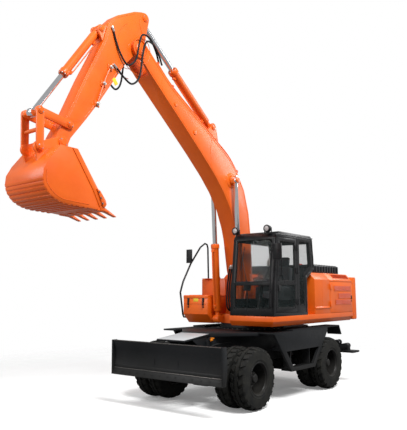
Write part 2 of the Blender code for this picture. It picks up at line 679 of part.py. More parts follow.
def build_body(house):
    front = BULKHEAD_X + 0.02 + TOUCH
    low = DECK_PLATE_TOP_Z + TOUCH
    piece("left_body_cover", "orange_paint",
          [plate("cross", body_section(0.345, 1), front, -0.50)], parent=house)
    piece("hydraulic_tank", "orange_paint",
          [plate("cross", body_section(-TANK_INNER_Y, -1), front, TANK_REAR_X - TOUCH)],
          parent=house)
    piece("fuel_tank", "orange_paint",
          [block((TANK_REAR_X, TANK_FRONT_X), (-1.20, TANK_INNER_Y), (low, TANK_TOP_Z))],
          parent=house, bevel=0.02)
    build_engine_bay(house, low)
    build_toolbox(house)
    build_counterweight(house)


def build_engine_bay(house, low):
    rear = HOUSE_REAR_X + 0.03
    solids = [block((BULKHEAD_X - 0.02, BULKHEAD_X + 0.02), (-1.10, 1.10), (low, ROOF_Z - 0.04)),
              block((rear - 0.02, rear + 0.04), (-1.10, 1.10), (ROOF_Z - 0.12, ROOF_Z - 0.01))]
    for side in (-1, 1):
        shoulder = [(HOUSE_HALF_W, SHOULDER_Z - 0.035), (HOUSE_HALF_W, SHOULDER_Z),
                    (HOUSE_HALF_W - 0.14, ROOF_Z), (HOOD_HALF_W - 0.03, ROOF_Z),
                    (HOOD_HALF_W - 0.03, ROOF_Z - PANEL_T), (HOUSE_HALF_W - 0.16, ROOF_Z - PANEL_T),
                    (HOUSE_HALF_W - PANEL_T, SHOULDER_Z - 0.02),
                    (HOUSE_HALF_W - PANEL_T, SHOULDER_Z - 0.035)]
        shoulder = [(side * y, z) for y, z in shoulder]
        solids.append(plate("cross", shoulder, rear - 0.02, BULKHEAD_X + 0.02))
        post = sorted((side * 1.10, side * 1.175))
        solids.append(block((rear - 0.02, rear + 0.04), post, (low, SHOULDER_Z)))
        solids.append(block((BULKHEAD_X - 0.02, BULKHEAD_X + 0.02),
                            sorted((side * 1.05, side * HOUSE_HALF_W)), (low, SHOULDER_Z)))
    piece("engine_bay_frame", "orange_paint", solids, parent=house)
    piece("engine_block", "cast_iron",
          [block((-2.20, -1.38), (-0.75, 0.65), (low, 2.18))], parent=house)
    door_x = (BULKHEAD_X - 0.02 - PANEL_GAP, rear - 0.02)
    for side, label in ((1, "left"), (-1, "right")):
        leaf = block(door_x, (side * (HOUSE_HALF_W - PANEL_T), side * HOUSE_HALF_W),
                     (low + PANEL_GAP, SHOULDER_Z - 0.035 - PANEL_GAP))
        hinges, pivot = hinge_knuckles(door_x[0] + PANEL_GAP / 2, side, -1, (1.68, 2.05))
        piece(f"engine_door_{label}", "orange_paint", [leaf] + hinges, pivot=pivot,
              parent=house, solver="MANIFOLD")
    hood = block((HOOD_REAR_X, HOOD_FRONT_X), (-HOOD_HALF_W, HOOD_HALF_W),
                 (ROOF_Z + TOUCH, HOOD_TOP_Z))
    hollow = block((HOOD_REAR_X + 0.035, HOOD_FRONT_X - 0.035),
                   (-HOOD_HALF_W + 0.035, HOOD_HALF_W - 0.035), (ROOF_Z - 0.1, HOOD_TOP_Z - 0.035))
    piece("engine_hood", "trim_plastic", [hood], [hollow],
          pivot=(HOOD_FRONT_X, 0, ROOF_Z + 0.01), parent=house, bevel=0.025)


def build_toolbox(house):
    low, step = DECK_PLATE_TOP_Z + TOUCH, TOOL_SIDE_FRONT_X + TOUCH
    top = TOOLBOX_TOP_Z
    back = TANK_FRONT_X + TOUCH
    outline = [(back, low), (step, low), (step, 1.36), (0.62, 1.36), (TOOLBOX_FRONT_X, 1.54),
               (TOOLBOX_FRONT_X, top), (back, top)]
    inside = block((back + 0.03, TOOLBOX_FRONT_X - 0.03), (-1.17, -0.575), (low + 0.03, top + 0.1))
    piece("toolbox", "orange_paint", [plate("side", outline, -1.20, -0.545)], [inside],
          parent=house)
    lid = block((back, TOOLBOX_FRONT_X), (-1.20, -0.545), (top + TOUCH, top + 0.03))
    piece("toolbox_lid", "orange_paint", [lid], pivot=(back, -0.87, top + 0.03),
          parent=house)


def build_counterweight(house):
    front = HOUSE_REAR_X - TOUCH
    outline = mirrored([(front, HOUSE_HALF_W), (-2.58, HOUSE_HALF_W), (-2.70, 1.14),
                        (-2.79, 0.86), (-2.835, 0.45), (-2.85, 0.0)])
    piece("counterweight", "orange_paint",
          [plate("plan", outline, 1.38, COUNTERWEIGHT_TOP_Z)], parent=house, bevel=0.03)


# ---- cab --------------------------------------------------------------------------------
CAB_LOW = DECK_PLATE_TOP_Z + TOUCH
CAB_OUTLINE = [(1.144, CAB_LOW), (1.10, 2.16), (0.993, 3.03), (0.90, 3.13), (-0.36, 3.13),
               (-0.44, 3.05), (-0.485, 2.46), (-0.17, 2.27), (-0.17, CAB_LOW)]
CAB_INSIDE = [(1.094, CAB_FLOOR_Z), (1.052, 2.16), (0.95, 3.01), (0.87, 3.08), (-0.33, 3.08),
              (-0.39, 3.02), (-0.435, 2.49), (-0.12, 2.30), (-0.12, CAB_FLOOR_Z)]
DOOR_OUTLINE = [(1.062, 1.62), (1.030, 2.16), (0.935, 3.01), (DOOR_REAR_X, 3.03),
                (DOOR_REAR_X, 1.62)]


def grown(outline, gap):
    """A convex outline moved outward by a gap, each point away from the middle."""
    middle_u = sum(u for u, v in outline) / len(outline)
    middle_v = sum(v for u, v in outline) / len(outline)
    return [(u + (gap if u > middle_u else -gap), v + (gap if v > middle_v else -gap))
            for u, v in outline]


def hinge_knuckles(axis_x, side, into, levels):
    """Hinge barrels beside a panel's edge, each with the leaf that holds it to the panel."""
    axis_x -= into * (PANEL_GAP / 2 + 0.010)
    middle = side * (HOUSE_HALF_W + TOUCH + HINGE_R)
    leaf_y = sorted((side * (HOUSE_HALF_W - 0.006), side * (HOUSE_HALF_W + TOUCH + HINGE_R)))
    solids = []
    for level in levels:
        solids.append(bar((axis_x, middle, level), (axis_x, middle, level + 0.12), HINGE_R, 12))
        leaf_x = sorted((axis_x + into * (PANEL_GAP + 0.012), axis_x + into * 0.07))
        solids.append(block(leaf_x, leaf_y, (level + 0.01, level + 0.11)))
        solids.append(block(sorted((axis_x, axis_x + into * 0.03)),
                            sorted((middle - side * 0.004, middle + side * 0.004)),
                            (level + 0.01, level + 0.11)))
    return solids, (axis_x, middle, levels[0])


def build_cab(house):
    inner, outer = CAB_INNER_Y, CAB_OUTER_Y
    shell = plate("side", CAB_OUTLINE, inner, outer)
    cabin = plate("side", CAB_INSIDE, inner + CAB_WALL, outer - CAB_WALL)
    doorway = plate("side", grown(DOOR_OUTLINE, PANEL_GAP), outer - 0.10, outer + 0.05)
    side_window = [(1.00, 1.85), (0.985, 2.16), (0.90, 2.98), (-0.30, 2.98), (-0.36, 2.56),
                   (-0.06, 2.36), (-0.06, 1.85)]
    quarter = [(0.14, 1.74), (0.14, 3.00), (-0.28, 3.00), (-0.36, 2.52), (-0.06, 2.33),
               (-0.06, 1.74)]
    cuts = [cabin, doorway,
            plate("side", side_window, inner - 0.05, inner + 0.10),
            plate("side", quarter, outer - 0.10, outer + 0.05),
            block((0.80, 1.30), (inner + 0.08, outer - 0.08), (1.68, 2.13)),
            block((0.80, 1.30), (inner + 0.08, outer - 0.08), (2.18, 2.99)),
            block((-0.60, -0.25), (inner + 0.12, outer - 0.12), (2.52, 2.98)),
            block((0.25, 0.75), (inner + 0.16, outer - 0.16), (3.0, 3.2))]
    cab = piece("cab_body", "cab_paint", [shell], cuts, parent=house, solver="MANIFOLD")
    mirror = block((1.115, 1.145), (1.22, 1.40), (2.58, 2.88))
    stay = tube([(1.00, 1.19, 2.74), (1.13, 1.19, 2.74), (1.13, 1.30, 2.74)], 0.012)
    add_union(cab, [stay, mirror])
    hinges, pivot = hinge_knuckles(DOOR_REAR_X - PANEL_GAP / 2, 1, 1, (1.75, 2.35, 2.80))
    leaf = plate("side", DOOR_OUTLINE, outer - DOOR_T, outer)
    panes = [[(0.965, 2.20), (0.875, 2.96), (0.31, 2.96), (0.31, 2.20)],
             [(0.995, 1.70), (0.972, 2.14), (0.31, 2.14), (0.31, 1.70)]]
    piece("cab_door", "cab_paint", [leaf] + hinges,
          [plate("side", pane, outer - 0.1, outer + 0.1) for pane in panes],
          pivot=pivot, parent=cab, solver="MANIFOLD")
    build_cab_inside(cab)
    build_glass(cab)


def build_glass(cab):
    """The upper windscreen pane in its opening."""
    play = 0.0005
    high_pane = [(1.078, 2.18 + play), (0.985, 2.99 - play), (0.977, 2.99 - play),
                 (1.070, 2.18 + play)]
    span = (CAB_INNER_Y + 0.08 + play, CAB_OUTER_Y - 0.08 - play)
    piece("windscreen", "glass", [plate("side", high_pane, *span)], parent=cab)


def build_cab_inside(cab):
    """The seat with its two consoles on the floor, and the steering column."""
    floor, middle = CAB_FLOOR_Z, (CAB_INNER_Y + CAB_OUTER_Y) / 2
    seat = [(-0.06, 1.84), (0.46, 1.84), (0.48, 2.02), (0.12, 2.02), (-0.06, 2.72),
            (-0.16, 2.72), (-0.08, 2.10)]
    solids = [block((-0.05, 0.45), (middle - 0.22, middle + 0.22), (floor + TOUCH, 1.86)),
              plate("side", seat, middle - 0.195, middle + 0.195)]
    for side in (-1, 1):
        console = sorted((middle + side * 0.20, middle + side * 0.33))
        solids.append(block((0.02, 0.55), console, (1.80, 2.14)))
    piece("operator_seat", "seat_fabric", solids, parent=cab)
    add_union(cab, [bar((0.92, middle, floor - 0.02), (0.74, middle, 2.18), 0.035, 16),
                    bar((0.742, middle, 2.17), (0.733, middle, 2.20), 0.17, 24),
                    block((0.84, 1.0), (middle - 0.12, middle + 0.12),
                          (floor - 0.02, floor + 0.09))])


def build_mirror_rail(house):
    side = -1.30
    rail = [(0.69, -1.2003, 1.47), (0.69, -1.28, 1.47), (0.70, side, 1.52), (0.79, side, 1.99),
            (0.70, side, 2.22), (0.44, side, 2.62), (0.10, side, 3.00), (-0.07, side, 3.10),
            (-0.15, side, 3.08), (-0.18, side, 3.00), (-0.20, side, 2.28), (-0.20, -1.28, 2.22),
            (-0.20, -1.2003, 2.22)]
    head = block((0.35, 0.39), (-1.47, -1.33), (2.64, 2.94))
    stay = tube([(0.37, side, 2.70), (0.37, -1.40, 2.74)], 0.012)
    piece("mirror_right", "trim_plastic", [tube(rail, 0.02), stay, head], parent=house)


# ---- working equipment ------------------------------------------------------------------
BOOM_FRONT_EDGE = [(0.27, 1.93), (0.43, 2.45), (0.47, 2.66), (0.54, 3.07), (0.62, 3.33),
                   (0.79, 3.69), (1.04, 4.02), (1.33, 4.31), (1.77, 4.68), (2.25, 5.06),
                   (3.21, 5.81), (3.40, 5.98)]
BOOM_BACK_EDGE = [(3.30, 6.27), (3.01, 6.03), (2.60, 5.72), (1.92, 5.35), (1.26, 4.99),
                  (0.83, 4.75), (0.54, 4.48), (0.285, 4.13), (0.12, 3.65), (0.06, 3.20),
                  (0.02, 2.60), (-0.01, 2.10)]
ARM_OUTLINE_TOP = [(3.40, 6.88), (3.565, 6.82), (3.96, 6.59), (4.15, 6.37), (4.25, 6.02),
                   (4.61, 5.29), (4.93, 4.57), (5.10, 4.25)]
ARM_OUTLINE_REAR = [(4.84, 4.27), (4.56, 4.63), (4.31, 4.97), (3.78, 5.77)]


def build_boom(house):
    y0, half = GEAR_Y, BOOM_HALF_W
    outline = (arc(BOOM_FOOT, 0.155, 160, 330, 7) + BOOM_FRONT_EDGE
               + arc(ARM_PIN, 0.17, -90, 110, 9) + BOOM_BACK_EDGE)
    lug = [(1.03, 4.80), (1.55, 5.10)] + arc(ARM_CYL_FOOT, 0.09, 0, 180, 7)
    solids = [plate("side", outline, y0 - half, y0 + half)]
    for side in (-1, 1):
        near = y0 + side * (ARM_CYL_EYE_HALF + PIN_PLAY)
        solids.append(plate("side", lug, *sorted((near, near + side * 0.035))))
        boss = y0 + side * half
        inner = boss + side * (BOOM_CYL_OFFSET - BOOM_CYL_EYE_HALF - half - PIN_PLAY)
        solids.append(disc(BOOM_CYL_EYE, 0.10, *sorted((boss - side * 0.02, inner))))
    fork = disc(ARM_PIN, FORK_R, y0 - ARM_HALF_W - PIN_PLAY, y0 + ARM_HALF_W + PIN_PLAY, 32)
    return piece("boom", "orange_paint", solids, [fork], pivot=at_y(BOOM_FOOT), parent=house)


def build_arm(boom):
    y0, half = GEAR_Y, ARM_HALF_W
    outline = (arc(ARM_CYL_EYE, 0.10, 200, 70, 6) + ARM_OUTLINE_TOP
               + arc(BUCKET_PIN, 0.11, 10, -160, 7) + ARM_OUTLINE_REAR
               + arc(ARM_PIN, 0.15, -60, -200, 7))
    lug = [(4.10, 6.03), (4.02, 6.40)] + arc(BUCKET_CYL_FOOT, 0.075, 110, -30, 6) + [(4.235, 6.03)]
    eye = disc(ARM_CYL_EYE, 0.24, y0 - ARM_CYL_EYE_HALF - PIN_PLAY, y0 + ARM_CYL_EYE_HALF + PIN_PLAY)
    bore = disc(ROCKER_PIN, ROCKER_BORE_R, y0 - 0.2, y0 + 0.2)
    notch = disc(BUCKET_CYL_FOOT, 0.15, y0 - BUCKET_CYL_EYE_HALF - PIN_PLAY,
                 y0 + BUCKET_CYL_EYE_HALF + PIN_PLAY)
    solids = [plate("side", outline, y0 - half, y0 + half),
              plate("side", lug, y0 - 0.095, y0 + 0.095)]
    return piece("arm", "orange_paint", solids, [eye, bore, notch], pivot=at_y(ARM_PIN),
                 parent=boom)


def build_rocker_and_link(arm):
    y0 = GEAR_Y
    near, far = ARM_HALF_W + PIN_PLAY, ARM_HALF_W + 0.035
    rocker = [disc(ROCKER_PIN, ROCKER_SHAFT_R, y0 - far + 0.005, y0 + far - 0.005)]
    outline = slotted_arm(ROCKER_PIN, ROCKER_END, 0.065, 0.065)
    for side in (-1, 1):
        rocker.append(plate("side", outline, *sorted((y0 + side * near, y0 + side * far))))
    piece("bucket_rocker", "orange_paint", rocker, pivot=at_y(ROCKER_PIN), parent=arm)
    outline = slotted_arm(ROCKER_END, BUCKET_LINK_PIN, 0.065, 0.06)
    middle = along(ROCKER_END, BUCKET_LINK_PIN, 0.27)
    link = [disc(middle, 0.03, y0 - LINK_INNER - 0.01, y0 + LINK_INNER + 0.01)]
    for side in (-1, 1):
        span = sorted((y0 + side * (far + PIN_PLAY), y0 + side * (far + 0.03)))
        link.append(plate("side", outline, *span))
    piece("bucket_link", "orange_paint", link, pivot=at_y(ROCKER_END), parent=arm)


def build_bucket(arm):
    y0, half = GEAR_Y, BUCKET_HALF_W
    back = [(5.255, 4.03), (5.435, 3.80), (5.52, 3.65), (5.53, 3.54), (5.50, 3.42), (5.41, 3.31),
            (5.27, 3.24), (5.12, 3.21), (4.70, 3.20)]
    outline = [(4.965, 4.03), (5.10, 4.03)] + back + [(4.40, 3.18), (4.40, 3.215), (4.56, 3.49)]
    hollow = [(4.86, 3.993), (5.237, 3.993), (5.402, 3.785), (5.485, 3.64), (5.495, 3.54),
              (5.465, 3.44), (5.385, 3.345), (5.255, 3.275), (5.11, 3.245), (4.70, 3.235),
              (4.25, 3.215)]
    ear = ([(4.93, 4.005), (5.25, 4.005), (5.42, 3.80)] + arc(BUCKET_LINK_PIN, 0.075, -50, 70, 5)
           + arc(BUCKET_PIN, 0.095, 50, 180, 6))
    solids = [plate("side", outline, y0 - half, y0 + half)]
    ears = [plate("side", ear, *sorted((y0 + side * (ARM_HALF_W + PIN_PLAY),
                                        y0 + side * (ARM_HALF_W + 0.035)))) for side in (-1, 1)]
    cavity = plate("side", hollow, y0 - half + 0.03, y0 + half - 0.03)
    tooth = [(4.50, 3.185), (4.40, 3.178), (4.20, 3.125), (4.18, 3.12), (4.18, 3.13),
             (4.38, 3.225), (4.50, 3.225)]
    teeth = []
    for index in range(5):
        y = y0 + (index - 2) * 0.205
        teeth.append(plate("side", tooth, y - 0.035, y + 0.035))
    bucket = piece("bucket", "orange_paint", solids, [cavity], pivot=at_y(BUCKET_PIN), parent=arm)
    add_union(bucket, ears + teeth)


def build_gear_cylinders(house, boom, arm):
    boom_sizes = (0.075, 0.048, 0.165, 1.53, 0.085, BOOM_CYL_EYE_HALF)
    for side, label in ((1, "left"), (-1, "right")):
        cylinder_pair(f"boom_cylinder_{label}", BOOM_CYL_FOOT, BOOM_CYL_EYE,
                      GEAR_Y + side * BOOM_CYL_OFFSET, boom_sizes, BOOM_CYL_TRAVEL, house)
    cylinder_pair("arm_cylinder", ARM_CYL_FOOT, ARM_CYL_EYE, GEAR_Y,
                  (0.08, 0.05, 0.165, 1.45, 0.085, ARM_CYL_EYE_HALF), ARM_CYL_TRAVEL, boom)
    cylinder_pair("bucket_cylinder", BUCKET_CYL_FOOT, ROCKER_END, GEAR_Y,
                  (0.066, 0.042, 0.15, 1.17, 0.07, BUCKET_CYL_EYE_HALF), BUCKET_CYL_TRAVEL, arm)


# ---- the machine ------------------------------------------------------------------------
def build_machine():
    chassis = build_chassis()
    build_steps("step_frame_left", 1, 1.15, chassis)
    build_steps("step_frame_right", -1, 1.40, chassis)
    build_front_axle(chassis)
    rear_axle = build_rear_axle(chassis)
    for side, label in ((1, "left"), (-1, "right")):
        knuckle = build_knuckle(f"steering_knuckle_{label}", side, chassis)
        build_wheel(f"front_{label}", FRONT_AXLE_X, side, knuckle)
        build_wheel(f"rear_{label}", REAR_AXLE_X, side, rear_axle)
    build_blade(chassis)
    build_blade_links(chassis)
    cylinder_pair("blade_cylinder", BLADE_CYL_FOOT, BLADE_LOW_PIN, 0,
                  (0.05, 0.03, 0.072, 0.495, 0.05, BLADE_CYL_HALF), BLADE_CYL_TRAVEL, chassis, "dark_paint")
    build_outriggers(chassis)
    house = build_house_frame()
    build_body(house)
    build_cab(house)
    build_mirror_rail(house)
    boom = build_boom(house)
    arm = build_arm(boom)
    build_bucket(arm)
    build_rocker_and_link(arm)
    build_gear_cylinders(house, boom, arm)


build_machine()
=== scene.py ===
"""Looks of the wheeled excavator: finishes, trim, glass, hoses, treads, floor, light and camera.

Everything is in metres in the machine's own frame: +X forward, +Y to the cab side, +Z up.
"""

import json
from math import atan2, cos, pi, radians, sin, tau

import bmesh
import bpy
from mathutils import Matrix, Vector


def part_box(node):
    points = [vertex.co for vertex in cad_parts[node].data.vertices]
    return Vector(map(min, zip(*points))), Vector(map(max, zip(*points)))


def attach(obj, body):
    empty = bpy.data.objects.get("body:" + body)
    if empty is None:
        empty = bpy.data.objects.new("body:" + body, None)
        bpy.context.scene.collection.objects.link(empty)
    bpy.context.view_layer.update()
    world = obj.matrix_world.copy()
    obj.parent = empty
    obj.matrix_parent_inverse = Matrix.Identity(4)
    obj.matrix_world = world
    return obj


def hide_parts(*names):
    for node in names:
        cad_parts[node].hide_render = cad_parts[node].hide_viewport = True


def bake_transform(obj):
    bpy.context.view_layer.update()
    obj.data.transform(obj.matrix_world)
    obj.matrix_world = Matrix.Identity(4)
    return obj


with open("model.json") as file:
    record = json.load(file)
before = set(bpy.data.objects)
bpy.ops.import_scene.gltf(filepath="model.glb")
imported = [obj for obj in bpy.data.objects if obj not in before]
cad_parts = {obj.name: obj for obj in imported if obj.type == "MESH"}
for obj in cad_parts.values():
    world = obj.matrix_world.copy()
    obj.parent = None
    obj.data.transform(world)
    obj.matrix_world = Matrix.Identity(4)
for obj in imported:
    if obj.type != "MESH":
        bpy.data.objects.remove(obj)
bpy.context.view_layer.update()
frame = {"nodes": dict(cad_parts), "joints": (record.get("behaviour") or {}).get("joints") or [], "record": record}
NODES = frame["nodes"]
JOINTS = {joint["name"]: Vector(joint["pos_m"]) for joint in frame["joints"] if "pos_m" in joint}

CAMERA_PLACE = (9.9635, 6.5111, 1.9786)
CAMERA_HEADING = radians(-141.95)
CAMERA_PITCH = radians(8.19)
CAMERA_LENS = 46.5
CAMERA_SHIFT = -0.0047
SENSOR_W = 36
BOOM_FOOT, ARM_PIN, BUCKET_PIN = (JOINTS[name] for name in ("boom_lower", "arm_extend", "bucket_dump"))
GEAR_Y = BOOM_FOOT.y
BOOM_SHARE = 0.857   # the boom's half width over the clear half width between its cylinders
BOOM_HALF_W = (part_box("boom_cylinder_left_barrel")[0].y - GEAR_Y) * BOOM_SHARE
ARM_HALF_W = (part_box("arm")[1].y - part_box("arm")[0].y) / 2
HOUSE_HALF_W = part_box("house_frame")[1].y
CAB_LOW, CAB_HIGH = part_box("cab_body")
TYRE_R = (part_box("tyres_front_left")[1].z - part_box("tyres_front_left")[0].z) / 2


# ---- materials --------------------------------------------------------------------------
def shader_of(name):
    material = bpy.data.materials.new(name)
    material.use_nodes = True
    tree = material.node_tree
    return material, tree, tree.nodes["Principled BSDF"]


def noise(tree, scale, detail=4.0, roughness=0.55, stretch=(1, 1, 1)):
    """Noise in the machine's own metres, so that the pattern keeps its scale on every piece."""
    place = tree.nodes.new("ShaderNodeTexCoord")
    mapping = tree.nodes.new("ShaderNodeMapping")
    mapping.inputs["Scale"].default_value = stretch
    texture = tree.nodes.new("ShaderNodeTexNoise")
    texture.inputs["Scale"].default_value = scale
    texture.inputs["Detail"].default_value = detail
    texture.inputs["Roughness"].default_value = roughness
    tree.links.new(place.outputs["Object"], mapping.inputs["Vector"])
    tree.links.new(mapping.outputs["Vector"], texture.inputs["Vector"])
    return texture.outputs["Fac"]


def ramp(tree, value, stops):
    """A colour ramp with (position, colour) stops."""
    node = tree.nodes.new("ShaderNodeValToRGB")
    elements = node.color_ramp.elements
    while len(elements) < len(stops):
        elements.new(0.5)
    for element, (position, colour) in zip(elements, stops):
        element.position = position
        element.color = (*colour, 1) if len(colour) == 3 else colour
    tree.links.new(value, node.inputs["Fac"])
    return node.outputs["Color"]


def bump(tree, shader, height, strength, distance):
    node = tree.nodes.new("ShaderNodeBump")
    node.inputs["Strength"].default_value = strength
    node.inputs["Distance"].default_value = distance
    tree.links.new(height, node.inputs["Height"])
    tree.links.new(node.outputs["Normal"], shader.inputs["Normal"])


def mixed(tree, factor, first, second):
    node = tree.nodes.new("ShaderNodeMix")
    node.data_type = "RGBA"
    tree.links.new(factor, node.inputs["Factor"])
    for socket, value in (("A", first), ("B", second)):
        target = next(i for i in node.inputs if i.name == socket and i.type == "RGBA")
        if isinstance(value, tuple):
            target.default_value = (*value, 1)
        else:
            tree.links.new(value, target)
    return next(o for o in node.outputs if o.type == "RGBA")


def grime(tree, low, high):
    """Dust that gathers towards the ground, broken up by noise: 0 clean to 1 dusty."""
    place = tree.nodes.new("ShaderNodeTexCoord")
    split = tree.nodes.new("ShaderNodeSeparateXYZ")
    span = tree.nodes.new("ShaderNodeMapRange")
    span.inputs["From Min"].default_value = low
    span.inputs["From Max"].default_value = high
    span.inputs["To Min"].default_value = 1.0
    span.inputs["To Max"].default_value = 0.0
    tree.links.new(place.outputs["Object"], split.inputs["Vector"])
    tree.links.new(split.outputs["Z"], span.inputs["Value"])
    times = tree.nodes.new("ShaderNodeMath")
    times.operation = "MULTIPLY"
    tree.links.new(span.outputs["Result"], times.inputs[0])
    tree.links.new(noise(tree, 5.0, 8.0, 0.65), times.inputs[1])
    return times.outputs["Value"]


def paint(name, colour, dark, roughness, dust=None, peel=0.05, coat=0.0, shine=0.5):
    """Sprayed paint: slow shade changes, orange-peel bump, duller patches and dust low down."""
    material, tree, shader = shader_of(name)
    shade = ramp(tree, noise(tree, 1.3, 5.0, 0.6), [(0.25, dark), (0.62, colour)])
    if dust:
        shade = mixed(tree, grime(tree, *dust[:2]), shade, dust[2])
    tree.links.new(shade, shader.inputs["Base Color"])
    low, high = roughness
    gloss = ramp(tree, noise(tree, 9.0, 6.0, 0.7), [(0.3, (low,) * 3), (0.75, (high,) * 3)])
    tree.links.new(gloss, shader.inputs["Roughness"])
    shader.inputs["Coat Weight"].default_value = coat
    shader.inputs["Specular IOR Level"].default_value = shine
    shader.inputs["Coat Roughness"].default_value = 0.18
    bump(tree, shader, noise(tree, 260.0, 2.0, 0.5), peel, 0.001)
    return material


def metal(name, colour, dark, roughness, stretch=(1, 1, 1), scale=60.0):
    material, tree, shader = shader_of(name)
    shader.inputs["Metallic"].default_value = 1.0
    grain = noise(tree, scale, 4.0, 0.6, stretch)
    tree.links.new(ramp(tree, grain, [(0.3, dark), (0.7, colour)]), shader.inputs["Base Color"])
    low, high = roughness
    tree.links.new(ramp(tree, grain, [(0.3, (low,) * 3), (0.7, (high,) * 3)]),
                   shader.inputs["Roughness"])
    bump(tree, shader, grain, 0.04, 0.0008)
    return material


def rubber(name, colour, dust, grain_scale, strength):
    material, tree, shader = shader_of(name)
    shade = ramp(tree, noise(tree, 7.0, 8.0, 0.7), [(0.35, colour), (0.78, dust)])
    tree.links.new(shade, shader.inputs["Base Color"])
    shader.inputs["Roughness"].default_value = 0.74
    shader.inputs["Specular IOR Level"].default_value = 0.2
    bump(tree, shader, noise(tree, grain_scale, 6.0, 0.7), strength, 0.0015)
    return material


def plastic(name, colour, dark, roughness, grain=900.0):
    material, tree, shader = shader_of(name)
    shade = ramp(tree, noise(tree, 4.0, 4.0), [(0.3, dark), (0.7, colour)])
    tree.links.new(shade, shader.inputs["Base Color"])
    shader.inputs["Roughness"].default_value = roughness
    shader.inputs["Specular IOR Level"].default_value = 0.3
    bump(tree, shader, noise(tree, grain, 2.0), 0.12, 0.0006)
    return material


def glass_of(name, tint, alpha):
    """Tinted cab glass: mostly clear, with a gloss and faint dust."""
    material, tree, shader = shader_of(name)
    haze = ramp(tree, noise(tree, 2.2, 6.0, 0.6), [(0.4, tint), (0.9, tuple(c * 1.5 for c in tint))])
    tree.links.new(haze, shader.inputs["Base Color"])
    shader.inputs["Roughness"].default_value = 0.03
    shader.inputs["Specular IOR Level"].default_value = 0.25
    shader.inputs["Alpha"].default_value = alpha
    return material


def fabric(name, colour, dark):
    material, tree, shader = shader_of(name)
    place = tree.nodes.new("ShaderNodeTexCoord")
    weave = []
    for axis in ("X", "Y", "Z"):
        wave = tree.nodes.new("ShaderNodeTexWave")
        wave.bands_direction = axis
        wave.inputs["Scale"].default_value = 110.0
        wave.inputs["Distortion"].default_value = 1.2
        tree.links.new(place.outputs["Object"], wave.inputs["Vector"])
        weave.append(wave.outputs["Fac"])
    total = tree.nodes.new("ShaderNodeMath")
    total.operation = "ADD"
    tree.links.new(weave[0], total.inputs[0])
    tree.links.new(weave[1], total.inputs[1])
    every = tree.nodes.new("ShaderNodeMath")
    every.operation = "MULTIPLY_ADD"
    every.inputs[1].default_value = 0.33
    every.inputs[2].default_value = 0.0
    tree.links.new(total.outputs[0], every.inputs[0])
    tree.links.new(weave[2], every.inputs[2])
    shade = ramp(tree, every.outputs[0], [(0.2, dark), (1.0, colour)])
    tree.links.new(shade, shader.inputs["Base Color"])
    shader.inputs["Roughness"].default_value = 0.92
    shader.inputs["Sheen Weight"].default_value = 0.25
    bump(tree, shader, every.outputs[0], 0.35, 0.0012)
    return material


